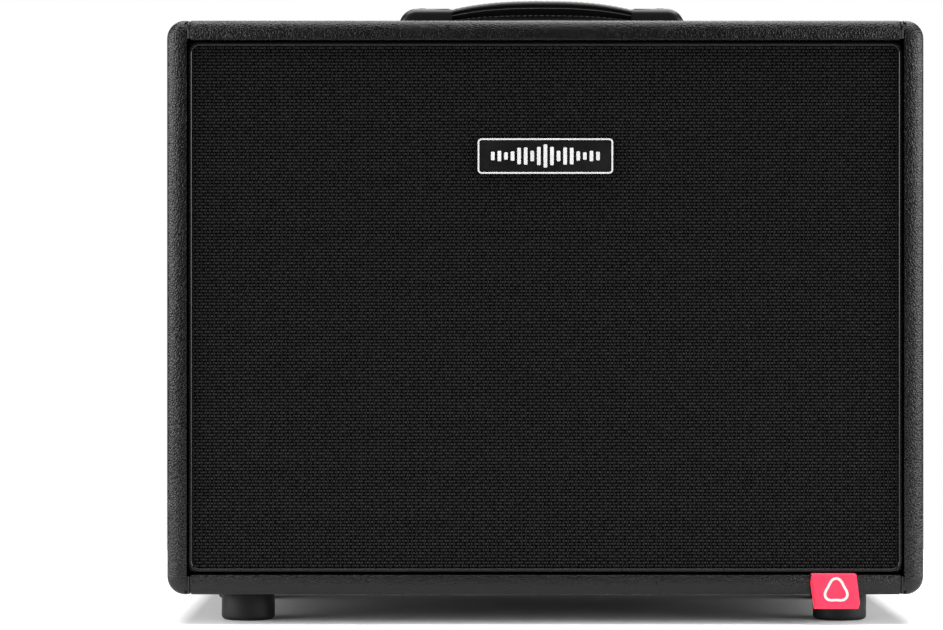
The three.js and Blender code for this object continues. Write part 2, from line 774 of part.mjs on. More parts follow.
// The rocker about its pivot: two faces that meet in a shallow V, over ends that clear the well.
function rocker() {
  const [reach, crown, dip] = [9.2, 6, 4.4];
  const half = [[dip, 0], [crown, reach - 0.9], [1, reach], [-2, 5.5]];
  const section = polygon([[-2, -5.5], [1, -reach], [crown, -reach + 0.9], ...half]);
  return bar(section, [-ROCKER.halfWidth, ROCKER.halfWidth]);
}

function mainsInlet() {
  const [w, h] = INLET.half;
  const flange = plate(roundedRectangle([-w, w], [-h, h], 2), [FLANGE_Y, FLANGE_Y + 2.4], { curveSegments: 3 });
  const body = box([-13.6, 13.6], [-20, FLANGE_Y + 1], [-10, 10]);
  const cavity = polygon([[-12.2, -8.3], [12.2, -8.3], [12.2, 4.4], [8.4, 8.3], [-8.4, 8.3], [-12.2, 4.4]]);
  const shell = cut(join(flange, body), plate(cavity, [-13, FLANGE_Y + 4]));
  const pin = (x, z) => box([x - 1, x + 1], [-14, 0], [z - 2, z + 2]);
  return join(shell, pin(-7, -1), pin(7, -1), pin(0, 3.5));
}

// A round socket for a three-pin or a 6.35 mm plug, on a square flange with a latch slot.
function inputJack() {
  const face = FLANGE_Y + 2;
  const flange = plate(roundedRectangle([-13, 13], [-15.5, 15.5], 2), [FLANGE_Y, face], { curveSegments: 3 });
  const barrel = disc(12, [-24, FLANGE_Y + 0.5], 24);
  const socket = disc(9.6, [-10, face + 1], 20);
  const bore = disc(3.3, [-22, 0], 12);
  const latchSlot = box([-4.1, 4.1], [FLANGE_Y - 1, face + 1], [12.4, 14.9]);
  return cut(join(flange, barrel), socket, bore, latchSlot);
}

function inputLatch() {
  return box([-3.6, 3.6], [FLANGE_Y + 1.4, FLANGE_Y + 3.6], [12.8, 14.5]);
}

function linkJack() {
  const nut = disc(7.4, [FLANGE_Y, FLANGE_Y + 2.4], 6);
  const bushing = disc(4.9, [-1, FLANGE_Y + 4.6], 16);
  const body = box([-9, 9], [-21, -GAP], [-8, 8]);
  return cut(join(nut, bushing, body), disc(3.3, [-19, FLANGE_Y + 6], 14));
}

function powerModule() {
  const knob = knobGeometry();
  const knobs = Object.entries(KNOB_X).map(([name, x]) => {
    return piece(`${name}_knob`, knob, MATERIAL.plastic, [x, 0, KNOB_Z]);
  });
  const powerRocker = piece('power_rocker', rocker(), MATERIAL.plastic, [SWITCH.x, ROCKER.pivotY, SWITCH.z]);
  powerRocker.rotation.x = -ROCKER.rest;
  return group(
    [0, PANEL_Y, AMP.z],
    piece('input_panel', panelPlate([-AMP.width / 2, AMP.split - GAP / 2]), MATERIAL.steel),
    piece('amp_panel', panelPlate([AMP.split + GAP / 2, AMP.width / 2]), MATERIAL.steel),
    piece('amp_tray', ampTray(), MATERIAL.zinc),
    piece('control_board', controlBoard(), MATERIAL.board),
    piece('transformer', transformer(), MATERIAL.copper),
    piece('heat_sink', heatSink(), MATERIAL.aluminium),
    ...knobs,
    piece('ground_lift_button', pushButton(), MATERIAL.plastic, [BUTTON.x, 0, BUTTON.z]),
    piece('power_switch_bezel', switchBezel(), MATERIAL.plastic, [SWITCH.x, 0, SWITCH.z]),
    powerRocker,
    piece('mains_inlet', mainsInlet(), MATERIAL.plastic, [INLET.x, 0, INLET.z]),
    piece('input_jack', inputJack(), MATERIAL.plastic, [INPUT.x, 0, INPUT.z]),
    piece('input_jack_latch', inputLatch(), MATERIAL.zinc, [INPUT.x, 0, INPUT.z]),
    piece('link_jack', linkJack(), MATERIAL.zinc, [LINK.x, 0, LINK.z]),
  );
}

// ---------------------------------------------------------------- wiring

// The lead from the power module's tray to the terminals on the speaker's basket.
function speakerLead() {
  const route = [
    [-20, 51.7, 290], [-20, 44, 290], [0, 18, 275], [40, -12, 250], [66, -40, 232], [64, -62, 222], [46.8, -64, 222],
  ];
  const path = new THREE.CatmullRomCurve3(route.map((point) => new THREE.Vector3(...point)));
  const section = new THREE.Shape();
  section.absarc(0, 0, 2.5, 0, 2 * Math.PI);
  const tube = new THREE.ExtrudeGeometry(section, { steps: 14, curveSegments: 4, extrudePath: path });
  return turnedOut(tube);
}

// ---------------------------------------------------------------- the whole amplifier

const amplifier = new THREE.Group();
amplifier.add(cabinet(), grille(), feet(), handle(), woofer(), highFrequencyUnit(), powerModule());
amplifier.add(piece('speaker_lead', speakerLead(), MATERIAL.lead));

export default amplifier;
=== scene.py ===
# %% [markdown]
# # A closed-back guitar amplifier
# A plywood box covered in black textured vinyl, with a woven grille in front, a power module in the back,
# a strap handle and four rubber feet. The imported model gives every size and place, in metres, with the floor
# at Z = 0 and the front facing -Y. Most of what the eye meets here is black, so the work is in the edges,
# the grain and the light.

# %% Load the frame
import math
import bmesh
import bpy
from mathutils import Matrix, Vector


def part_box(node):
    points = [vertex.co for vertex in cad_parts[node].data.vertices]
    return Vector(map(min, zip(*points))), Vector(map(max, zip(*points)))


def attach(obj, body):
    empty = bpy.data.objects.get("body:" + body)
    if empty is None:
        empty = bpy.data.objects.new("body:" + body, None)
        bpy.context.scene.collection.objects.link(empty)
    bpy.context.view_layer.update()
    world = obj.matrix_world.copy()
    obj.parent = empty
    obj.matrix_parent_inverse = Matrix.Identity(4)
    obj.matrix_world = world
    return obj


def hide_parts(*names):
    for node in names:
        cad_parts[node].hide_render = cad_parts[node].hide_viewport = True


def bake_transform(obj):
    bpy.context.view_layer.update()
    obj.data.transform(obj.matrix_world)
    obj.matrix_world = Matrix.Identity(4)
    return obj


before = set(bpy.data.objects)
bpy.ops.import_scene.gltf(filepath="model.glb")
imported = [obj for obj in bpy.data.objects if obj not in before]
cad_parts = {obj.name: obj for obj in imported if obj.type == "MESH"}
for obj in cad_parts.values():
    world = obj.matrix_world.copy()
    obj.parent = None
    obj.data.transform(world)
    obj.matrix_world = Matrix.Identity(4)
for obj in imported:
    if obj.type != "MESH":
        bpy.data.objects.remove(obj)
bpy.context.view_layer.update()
MM = 0.001
print("CAD nodes:", len(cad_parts))

# %% [markdown]
# ## The camera
# The front is seen square on from a little left of its middle, at half the cabinet's height, with a long
# lens. The camera stays level, so upright edges stay upright.

# %% Camera
lens = bpy.data.cameras.new("camera")
lens.lens = 125.65
camera = bpy.data.objects.new("camera", lens)
camera.location = (-0.0517, -2.4375, 0.2168)
camera.rotation_euler = (math.radians(90), 0, 0)
bpy.context.scene.collection.objects.link(camera)
bpy.context.scene.camera = camera
bpy.context.scene.view_settings.view_transform = "Standard"
print("camera", round(lens.lens, 1), "mm at", tuple(camera.location))

# %% [markdown]
# ## A pale studio
# A black object on white shows its shape by what it mirrors. A wide light overhead catches the upper edges,
# and a low light at each side, a little in front, catches the rounded side edges. A weak one behind shows the
# back. Straight in front it stays dark, or the grille would turn grey: the world looks white to the camera
# and hardly shines on the object.

# %% Lights
def soft_light(name, place, size, power):
    """A rectangular light that faces the middle of the amplifier."""
    data = bpy.data.lights.new(name, "AREA")
    data.shape = "RECTANGLE"
    data.size, data.size_y = size
    data.energy = power
    light = bpy.data.objects.new(name, data)
    light.location = place
    aim = Vector((0, 0, 0.2)) - Vector(place)
    light.rotation_euler = aim.to_track_quat("-Z", "Y").to_euler()
    bpy.context.scene.collection.objects.link(light)
    print(name, size, "m", power, "W")


soft_light("overhead_light", (0, 0, 2.2), (2.6, 2.0), 112)
soft_light("left_light", (-1.8, -0.7, 0.65), (2.0, 1.1), 62)
soft_light("right_light", (1.8, -0.7, 0.65), (2.0, 1.1), 62)
soft_light("rear_light", (0.4, 1.6, 2.0), (1.6, 0.9), 24)


# %% World
def studio_world(shown, shining):
    """A backdrop that the camera sees at one brightness and that lights the object at another."""
    world = bpy.data.worlds.new("studio")
    world.use_nodes = True
    tree = world.node_tree
    lit = tree.nodes["Background"]
    lit.inputs["Strength"].default_value = shining
    lit.inputs["Color"].default_value = (1, 1, 1, 1)
    seen = tree.nodes.new("ShaderNodeBackground")
    seen.inputs["Strength"].default_value = shown
    seen.inputs["Color"].default_value = (1, 1, 1, 1)
    ray = tree.nodes.new("ShaderNodeLightPath")
    mix = tree.nodes.new("ShaderNodeMixShader")
    tree.links.new(ray.outputs["Is Camera Ray"], mix.inputs[0])
    tree.links.new(lit.outputs[0], mix.inputs[1])
    tree.links.new(seen.outputs[0], mix.inputs[2])
    tree.links.new(mix.outputs[0], tree.nodes["World Output"].inputs[0])
    bpy.context.scene.world = world
    print("world shown at", shown, "and shining at", shining)


studio_world(shown=1.0, shining=0.12)

# %% [markdown]
# ## Material helpers
# Every finish is a Principled shader with textures on Object coordinates, so a pattern keeps its real size on
# every piece. A few helpers keep the node work short: one makes a shader, one adds a texture node, one does
# arithmetic on values, and one turns a height into bump.

# %% Node helpers
def new_material(name, color, roughness, **constants):
    """A material whose even values sit on the shader's own sockets."""
    made = bpy.data.materials.new(name)
    made.use_nodes = True
    shader = made.node_tree.nodes["Principled BSDF"]
    shader.inputs["Base Color"].default_value = (*color, 1)
    shader.inputs["Roughness"].default_value = roughness
    for socket, value in constants.items():
        shader.inputs[socket.replace("_", " ")].default_value = value
    return made


def shader_of(material):
    return material.node_tree.nodes["Principled BSDF"]


def texture(material, kind, vector=None, **values):
    """A texture node on Object coordinates, or on another vector."""
    tree = material.node_tree
    node = tree.nodes.new("ShaderNodeTex" + kind)
    if vector is None:
        vector = tree.nodes.new("ShaderNodeTexCoord").outputs["Object"]
    tree.links.new(vector, node.inputs["Vector"])
    for name, value in values.items():
        if hasattr(node, name):
            setattr(node, name, value)
        else:
            node.inputs[name.replace("_", " ")].default_value = value
    return node


def calc(material, operation, *values):
    """One Math node. Numbers go on its sockets, and outputs are linked."""
    tree = material.node_tree
    node = tree.nodes.new("ShaderNodeMath")
    node.operation = operation
    for socket, value in zip(node.inputs, values):
        if isinstance(value, (int, float)):
            socket.default_value = value
        else:
            tree.links.new(value, socket)
    return node.outputs[0]


def ramp(material, value, low, high, stops=(0.0, 1.0)):
    """Turns a value into a colour between low and high."""
    tree = material.node_tree
    node = tree.nodes.new("ShaderNodeValToRGB")
    tree.links.new(value, node.inputs[0])
    for element, position, color in zip(node.color_ramp.elements, stops, (low, high)):
        element.position = position
        element.color = (*color, 1)
    return node.outputs[0]


def spread(material, value, low, high):
    """Stretches a 0 to 1 value to run from low to high."""
    tree = material.node_tree
    node = tree.nodes.new("ShaderNodeMapRange")
    tree.links.new(value, node.inputs["Value"])
    node.inputs["To Min"].default_value = low
    node.inputs["To Max"].default_value = high
    return node.outputs[0]


def feed(material, output, socket):
    material.node_tree.links.new(output, shader_of(material).inputs[socket])


def bump(material, height, depth, strength=1.0):
    """Relief of a real depth in metres."""
    tree = material.node_tree
    node = tree.nodes.new("ShaderNodeBump")
    node.inputs["Distance"].default_value = depth
    node.inputs["Strength"].default_value = strength
    tree.links.new(height, node.inputs["Height"])
    tree.links.new(node.outputs["Normal"], shader_of(material).inputs["Normal"])


# %% [markdown]
# ## Textured vinyl
# The covering is PVC pressed with a leather grain: rounded pebbles about 2 mm across, with creases
# between them, finer pores on top, and a slow change in how matt it is. Voronoi cells give the creases, once
# their coordinates have been stirred with noise, because straight cell walls look like glass.

# %% Vinyl
def stirred(material, scale, amount):
    """Object coordinates pushed about by noise, in metres."""
    tree = material.node_tree
    start = tree.nodes.new("ShaderNodeTexCoord").outputs["Object"]
    noise = texture(material, "Noise", Scale=scale, Detail=2.0)
    shift = tree.nodes.new("ShaderNodeVectorMath")
    shift.operation = "MULTIPLY_ADD"
    tree.links.new(noise.outputs["Color"], shift.inputs[0])
    shift.inputs[1].default_value = (amount, amount, amount)
    tree.links.new(start, shift.inputs[2])
    return shift.outputs[0]


def grained(name, color, roughness, cell, depth):
    """Black sheet with a leather grain whose pebbles are about one cell across."""
    made = new_material(name, color, roughness, Specular_IOR_Level=0.25)
    moved = stirred(made, 0.5 / cell, cell * 0.8)
    pebbles = texture(made, "Voronoi", moved, feature="DISTANCE_TO_EDGE", Scale=1 / cell)
    rounded = calc(made, "POWER", calc(made, "MULTIPLY", pebbles.outputs["Distance"], 2.2), 0.6)
    pores = texture(made, "Noise", Scale=0.9 / cell, Detail=3.0)
    height = calc(made, "MULTIPLY_ADD", pores.outputs["Fac"], 1.4, rounded)
    bump(made, height, depth)
    # Painted shade: the colour is halved in the creases between the pebbles.
    dark = [channel * 0.5 for channel in color]
    feed(made, ramp(made, rounded, dark, color, (0.1, 0.6)), "Base Color")
    worn = texture(made, "Noise", Scale=14.0, Detail=4.0)
    feed(made, spread(made, worn.outputs["Fac"], roughness - 0.05, roughness + 0.05), "Roughness")
    return made


vinyl = grained("textured_vinyl", (0.0028, 0.0028, 0.003), 0.27, 1.9 * MM, 0.2 * MM)
strap_vinyl = grained("strap_vinyl", (0.0028, 0.0028, 0.003), 0.3, 1.3 * MM, 0.08 * MM)
print(vinyl.name, strap_vinyl.name)


# %% [markdown]
# ## Plain blacks and metals
# Beads and piping are smooth extruded vinyl. Feet are rubber, and knobs and sockets are moulded with a fine
# spark-eroded texture. The panel is powder coated. One function serves them all: a colour that varies a
# little, a roughness that varies with it, and a fine relief at the finish's own scale.

# %% Speckled finishes
def speckled(name, color, roughness, scale, depth, contrast=0.3, **constants):
    """An even finish with small changes in colour and sheen over a fine relief."""
    made = new_material(name, color, roughness, **constants)
    fine = texture(made, "Noise", Scale=scale, Detail=4.0)
    broad = texture(made, "Noise", Scale=scale / 40, Detail=3.0)
    bump(made, fine.outputs["Fac"], depth)
    low = [channel * (1 - contrast) for channel in color]
    high = [min(1, channel * (1 + contrast)) for channel in color]
    feed(made, ramp(made, broad.outputs["Fac"], low, high, (0.3, 0.7)), "Base Color")
    feed(made, spread(made, broad.outputs["Fac"], roughness * 0.82, roughness * 1.18), "Roughness")
    return made


BLACK = (0.003, 0.003, 0.0032)
bead_vinyl = speckled("bead_vinyl", BLACK, 0.26, 900, 0.01 * MM, Specular_IOR_Level=0.3)
rubber = speckled("foot_rubber", (0.004, 0.004, 0.0042), 0.55, 1600, 0.05 * MM, Specular_IOR_Level=0.25)
moulded = speckled("moulded_plastic", BLACK, 0.34, 2600, 0.02 * MM, Specular_IOR_Level=0.3)
powder_coat = speckled("powder_coat", (0.013, 0.013, 0.014), 0.5, 2200, 0.05 * MM)
black_zinc = speckled("black_zinc", (0.05, 0.05, 0.055), 0.34, 1500, 0.01 * MM, Metallic=0.8)
white_print = speckled("white_print", (0.56, 0.56, 0.555), 0.45, 1800, 0.01 * MM, contrast=0.06)
sealed_ply = speckled("black_sealed_plywood", (0.02, 0.017, 0.014), 0.7, 500, 0.1 * MM)
paper = speckled("cone_paper", (0.02, 0.019, 0.018), 0.85, 1200, 0.15 * MM)
dipped_cotton = speckled("resin_dipped_cotton", (0.42, 0.26, 0.1), 0.6, 1500, 0.12 * MM)
ferrite = speckled("ground_ferrite", (0.06, 0.06, 0.065), 0.6, 900, 0.05 * MM)
lens_green = speckled("indicator_lens", (0.02, 0.35, 0.08), 0.15, 400, 0.002 * MM, Coat_Weight=0.6)
solder_mask = speckled("solder_mask", (0.01, 0.1, 0.035), 0.35, 700, 0.01 * MM)
red_sleeve = speckled("red_sleeve", (0.35, 0.015, 0.015), 0.4, 800, 0.01 * MM)


# %% Brushed metals
def brushed(name, color, roughness):
    """Metal with fine lines along X."""
    made = new_material(name, color, roughness, Metallic=1.0)
    tree = made.node_tree
    squeeze = tree.nodes.new("ShaderNodeMapping")
    squeeze.inputs["Scale"].default_value = (60, 2400, 2400)
    tree.links.new(tree.nodes.new("ShaderNodeTexCoord").outputs["Object"], squeeze.inputs["Vector"])
    lines = texture(made, "Noise", squeeze.outputs[0], Scale=1.0, Detail=3.0)
    bump(made, lines.outputs["Fac"], 0.01 * MM)
    feed(made, spread(made, lines.outputs["Fac"], roughness * 0.7, roughness * 1.3), "Roughness")
    tint = [channel * 0.8 for channel in color]
    feed(made, ramp(made, lines.outputs["Fac"], tint, color), "Base Color")
    return made


zinc = brushed("zinc_plate", (0.62, 0.63, 0.65), 0.32)
aluminium = brushed("aluminium", (0.72, 0.72, 0.74), 0.36)
copper = brushed("enamelled_copper", (0.72, 0.32, 0.16), 0.3)
core_steel = brushed("laminated_core", (0.2, 0.2, 0.22), 0.5)
contact_metal = brushed("contact_metal", (0.8, 0.78, 0.7), 0.22)

# %% [markdown]
# ## Grille cloth
# The cloth is woven from twisted yarns. Round knots stand in staggered rows, 5.9 mm apart along a row and
# 4.37 mm apart up a column. An upright strand runs on each side of them and sways from row to row, with small
# dark holes between. Modelling fourteen thousand knots would cost more than it shows, so the weave is a
# formula on the cloth's own X and Z, which drives relief, colour and gloss together. The colour is lighter on
# the raised yarn and darker on the ground between, as painted highlight and painted shade.

# %% Weave
KNOTS_ACROSS, KNOTS_UP = 5.9 * MM, 4.37 * MM


def knots(material, across, up, shift):
    """Round bumps on a grid, moved by a share of the grid's step."""
    def offset(value, step, radius):
        moved = calc(material, "FRACT", calc(material, "ADD", value, 0.5 + shift))
        return calc(material, "MULTIPLY", calc(material, "SUBTRACT", moved, 0.5), step / radius)
    x = offset(across, KNOTS_ACROSS, 1.25 * MM)
    z = offset(up, KNOTS_UP, 0.9 * MM)
    square = calc(material, "MULTIPLY_ADD", x, x, calc(material, "MULTIPLY", z, z))
    return calc(material, "SUBTRACT", 1.0, square)


def rows(material, up):
    """+1 on every row of knots and -1 halfway between rows."""
    return calc(material, "COSINE", calc(material, "MULTIPLY", up, 4 * math.pi))


def strands(material, across, up):
    """Upright strands beside the knots. Each sways out round a knot and back in at the next row."""
    centred = calc(material, "SUBTRACT", calc(material, "FRACT", calc(material, "ADD", across, 0.5)), 0.5)
    side = calc(material, "MULTIPLY", calc(material, "ABSOLUTE", centred), KNOTS_ACROSS / MM)
    swing = calc(material, "COSINE", calc(material, "MULTIPLY", up, 2 * math.pi))
    middle = calc(material, "MULTIPLY_ADD", swing, 0.425, 1.475)
    away = calc(material, "DIVIDE", calc(material, "SUBTRACT", side, middle), 0.72)
    crown = calc(material, "SUBTRACT", 0.62, calc(material, "MULTIPLY", away, away))
    return calc(material, "MULTIPLY_ADD", rows(material, up), 0.2, crown)


def grille_weave():
    made = new_material("grille_cloth", (0.02, 0.02, 0.021), 0.6)
    tree = made.node_tree
    split = tree.nodes.new("ShaderNodeSeparateXYZ")
    tree.links.new(stirred(made, 500, 0.75 * MM), split.inputs[0])
    across = calc(made, "DIVIDE", split.outputs["X"], KNOTS_ACROSS)
    up = calc(made, "DIVIDE", split.outputs["Z"], KNOTS_UP)
    both_grids = calc(made, "MAXIMUM", knots(made, across, up, 0.0), knots(made, across, up, 0.5))
    ground = calc(made, "MULTIPLY_ADD", rows(made, up), 0.12, 0.14)
    yarn = calc(made, "MAXIMUM", both_grids, strands(made, across, up))
    height = calc(made, "MAXIMUM", calc(made, "MAXIMUM", yarn, ground), 0.0)
    bump(made, height, 0.5 * MM)
    uneven = texture(made, "Noise", Scale=700, Detail=1.0)
    lively = spread(made, uneven.outputs["Fac"], -0.9, 2.9)
    # Painted highlight and painted shade: the colour follows the height, lighter on raised yarn and darker on
    # the ground, with random unevenness on top.
    painted_yarn_light = calc(made, "MULTIPLY", calc(made, "POWER", height, 1.2), calc(made, "MAXIMUM", lively, 0.08))
    feed(made, ramp(made, painted_yarn_light, (0.0002, 0.0002, 0.0002), (0.0128, 0.0128, 0.0133)), "Base Color")
    feed(made, spread(made, height, 0.95, 0.55), "Roughness")
    feed(made, spread(made, height, 0.0, 0.2), "Specular IOR Level")
    return made


cloth = grille_weave()
print(cloth.name, "repeats every", KNOTS_ACROSS / MM, "by", KNOTS_UP / MM, "mm")


# %% [markdown]
# ## Red satin ribbon
# The tag is a polyester ribbon. Its face is a fine diagonal twill with a soft sheen, so a close wave texture
# gives the relief, and noise lets the dye run a little lighter and darker.

# %% Ribbon
def satin(name, color):
    made = new_material(name, color, 0.5, Sheen_Weight=0.08, Sheen_Roughness=0.4, Specular_IOR_Level=0.2)
    twill = texture(made, "Wave", bands_direction="DIAGONAL", Scale=420.0, Distortion=0.4, Detail=1.0)
    dye = texture(made, "Noise", Scale=120, Detail=3.0)
    bump(made, twill.outputs["Fac"], 0.05 * MM, 0.6)
    dark = [channel * 0.8 for channel in color]
    feed(made, ramp(made, dye.outputs["Fac"], dark, color, (0.2, 0.6)), "Base Color")
    feed(made, spread(made, twill.outputs["Fac"], 0.42, 0.6), "Roughness")
    return made


red_satin = satin("red_satin", (0.93, 0.031, 0.076))


# %% [markdown]
# ## Modelling helpers
# Pieces start as primitives and are shaped in edit mode. An operator works on everything that is selected,
# so each helper first leaves edit mode and deselects all. Edges and faces are then picked by a test on where
# they are, which stays true when a size changes.

# %% Selection helpers
def alone(piece=None):
    """Object mode with nothing selected, or with one piece selected and active."""
    if bpy.context.object and bpy.context.object.mode != "OBJECT":
        bpy.ops.object.mode_set(mode="OBJECT")
    bpy.ops.object.select_all(action="DESELECT")
    if piece:
        piece.select_set(True)
        bpy.context.view_layer.objects.active = piece


def edit(piece, kind, test):
    """Edit mode with the vertices, edges or faces that pass the test selected."""
    alone(piece)
    bpy.ops.object.mode_set(mode="EDIT")
    bpy.ops.mesh.select_mode(type=kind)
    bpy.ops.mesh.select_all(action="DESELECT")
    mesh = bmesh.from_edit_mesh(piece.data)
    mesh.normal_update()
    for part in {"VERT": mesh.verts, "EDGE": mesh.edges, "FACE": mesh.faces}[kind]:
        if test(part):
            part.select_set(True)
    mesh.select_flush_mode()
    bmesh.update_edit_mesh(piece.data)


def settle(piece, smooth=None):
    """Back to object mode, with the piece's place moved into its mesh."""
    alone(piece)
    bpy.ops.object.transform_apply(location=True, rotation=True, scale=True)
    if smooth:
        bpy.ops.object.shade_smooth_by_angle(angle=math.radians(smooth))


def at(*tests):
    """A test for an edge or face whose middle lies at the values given as (axis, value)."""
    def passes(part):
        middle = sum((vertex.co for vertex in part.verts), Vector()) / len(part.verts)
        return all(abs(middle["XYZ".index(axis)] - value) < 0.02 * MM for axis, value in tests)
    return passes


def lies(axis, value):
    """A test for an edge or face whose corners all lie where an axis has a value."""
    place = "XYZ".index(axis)
    return lambda part: all(abs(vertex.co[place] - value) < 0.01 * MM for vertex in part.verts)


def along(axis):
    """A test for an edge that runs along an axis."""
    def passes(edge):
        run = edge.verts[1].co - edge.verts[0].co
        return abs(run["XYZ".index(axis)]) > 0.999 * run.length
    return passes


def both(first, second):
    return lambda part: first(part) and second(part)


def everything(part):
    """A test that any vertex, edge or face passes."""
    return True


def facing(*direction):
    """A test for a face whose normal points one way."""
    way = Vector(direction).normalized()
    return lambda face: face.normal.dot(way) > 0.99


# %% Primitive helpers
def around(middle, half):
    """A (low, high) pair with a middle and half a width."""
    return middle - half, middle + half


def middle_of(name):
    """The X and Z of the middle of a CAD node."""
    low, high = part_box(name)
    return (low.x + high.x) / 2, (low.z + high.z) / 2


def block(name, x, y, z):
    """A cuboid from three (low, high) pairs."""
    alone()
    middle = [(low + high) / 2 for low, high in (x, y, z)]
    size = [high - low for low, high in (x, y, z)]
    bpy.ops.mesh.primitive_cube_add(size=1, location=middle, scale=size)
    piece = bpy.context.object
    piece.name = name
    settle(piece)
    return piece


def rod(name, radius, start, end, sides=32, turn=0.0):
    """A cylinder between two points on a line along one axis."""
    alone()
    start, end = Vector(start), Vector(end)
    run = end - start
    bpy.ops.mesh.primitive_cylinder_add(vertices=sides, radius=radius, depth=run.length)
    piece = bpy.context.object
    piece.name = name
    spin = Matrix.Rotation(turn, 4, "Z")
    tilt = run.to_track_quat("Z", "Y").to_matrix().to_4x4()
    piece.matrix_world = Matrix.Translation((start + end) / 2) @ tilt @ spin
    settle(piece)
    return piece


def bevel(piece, test, radius, segments=3, kind="EDGE"):
    """Rounds the edges, or the corners, that pass a test."""
    edit(piece, kind, test)
    affect = "EDGES" if kind == "EDGE" else "VERTICES"
    bpy.ops.mesh.bevel(offset=radius, segments=segments, affect=affect)
    bpy.ops.object.mode_set(mode="OBJECT")


def apply_boolean(piece, tool, operation="DIFFERENCE"):
    """Cuts the tool out of a piece, or joins it on, and removes the tool."""
    alone(piece)
    modifier = piece.modifiers.new("boolean", "BOOLEAN")
    modifier.operation = operation
    modifier.solver = "MANIFOLD"
    modifier.object = tool
    bpy.ops.object.modifier_apply(modifier=modifier.name)
    bpy.data.objects.remove(tool)


def join(name, pieces):
    """Several objects made into one."""
    alone(pieces[0])
    for piece in pieces:
        piece.select_set(True)
    bpy.ops.object.join()
    pieces[0].name = name
    return pieces[0]


def copy_of(piece, name, matrix=None):
    """A copy with its own mesh, moved by a matrix."""
    made = piece.copy()
    made.data = piece.data.copy()
    made.name = name
    bpy.context.scene.collection.objects.link(made)
    if matrix:
        made.data.transform(matrix)
        if matrix.determinant() < 0:
            made.data.flip_normals()
    return made


def mirror(axis, about=0.0):
    """A matrix that mirrors in the plane where an axis has a value."""
    place = "XYZ".index(axis)
    scale = Matrix.Identity(4)
    scale[place][place] = -1
    scale[place][3] = 2 * about
    return scale


def finish(piece, body, material, slot, *nodes):
    """Gives a piece its finish, its body and the CAD nodes that it stands for."""
    if material:
        piece.data.materials.clear()
        piece.data.materials.append(material)
    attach(piece, body)
    if nodes:
        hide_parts(*nodes)
    print(piece.name, len(piece.data.polygons), "faces")
    return piece


# %% [markdown]
# ## The covering
# Four pieces of vinyl wrap the box. Each side piece rounds the cabinet's two long corners, and every piece
# turns round the front and back edges. The outer edges have a generous radius and the inner ones a tight one,
# as vinyl pulled over a routed board has. Each is a block with rounded edges that is then hollowed where its
# board lies, so a wall of 1.3 mm is left. The same two functions, drawn in by a little more, give the boards.

# %% Sizes of the covering
side_low, side_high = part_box("right_covering")
top_low, top_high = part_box("top_covering")
board_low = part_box("right_board")[0]
top_board_low, top_board_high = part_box("top_board")
SKIN, BOARD_INSET = 1.3 * MM, 1.6 * MM
CORNER, SIDE_EDGE, OUTER_EDGE, INNER_EDGE = 12.5 * MM, 12 * MM, 10 * MM, 1.2 * MM
SQUEEZE = 1.8  # the outer edges are this much wider than they are deep
FRONT_LIP, BACK_LIP = 20 * MM, 22 * MM
front, back = side_low.y, side_high.y
middle_z = (side_low.z + side_high.z) / 2
print("cabinet", [round(v / MM, 1) for v in (2 * side_high.x, back - front, side_high.z - side_low.z)], "mm")


# %% Side covering
def rounded_side(x, inset):
    """The right side as a solid: long corners, then the outline at the front and back."""
    y = (SQUEEZE * (front + inset), SQUEEZE * (back - inset))
    z = (side_low.z + inset, side_high.z - inset)
    solid = block("side", (x, side_high.x - inset), y, z)
    outer = at(("X", side_high.x - inset))
    bevel(solid, both(outer, along("Y")), CORNER - inset, 8)

    def outline(edge):
        ends = [vertex.co for vertex in edge.verts]
        level = any(all(abs(end.y - face) < 0.01 * MM for end in ends) for face in y)
        inner = all(abs(end.x - x) < 0.01 * MM for end in ends)
        return level and not inner
    bevel(solid, outline, SIDE_EDGE - inset, 8)
    solid.data.transform(Matrix.Diagonal((1, 1 / SQUEEZE, 1, 1)))
    return solid


side = rounded_side(side_low.x, 0)
bevel(side, both(along("Z"), at(("X", side_low.x))), INNER_EDGE, 4)
apply_boolean(side, rounded_side(side_low.x + SKIN, SKIN))
opening = (side_low.z + 14 * MM, side_high.z - 14 * MM)
reach = (side_low.x - 5 * MM, side_low.x + SKIN + 0.2 * MM)
window = block("window", reach, (front + FRONT_LIP, back - BACK_LIP), (opening[0] - MM, opening[1] + MM))
apply_boolean(side, window)
for low, high in ((side_low.z + SKIN, opening[0]), (opening[1], side_high.z - SKIN)):
    joint = block("joint", reach, (front + SKIN, back - SKIN), (low, high))
    apply_boolean(side, joint)
side.name = "right_vinyl"
settle(side, 35)
left_side = copy_of(side, "left_vinyl", mirror("X"))
finish(side, "cabinet", vinyl, "vinyl", "right_covering")
finish(left_side, "cabinet", vinyl, "vinyl", "left_covering")
right_board = rounded_side(board_low.x, BOARD_INSET)
right_board.name = "right_plywood"
settle(right_board, 35)
finish(copy_of(right_board, "left_plywood", mirror("X")), "cabinet", sealed_ply, "plywood", "left_board")
finish(right_board, "cabinet", sealed_ply, "plywood", "right_board")


# %% Top and bottom covering
def rounded_top(x, inset):
    """The top as a solid with its long edges rounded."""
    y = (SQUEEZE * (front + inset), SQUEEZE * (back - inset))
    z = (top_low.z + inset, top_high.z - inset)
    solid = block("top", x, y, z)
    bevel(solid, both(along("X"), at(("Z", z[1]))), OUTER_EDGE - inset, 8)
    solid.data.transform(Matrix.Diagonal((1, 1 / SQUEEZE, 1, 1)))
    return solid


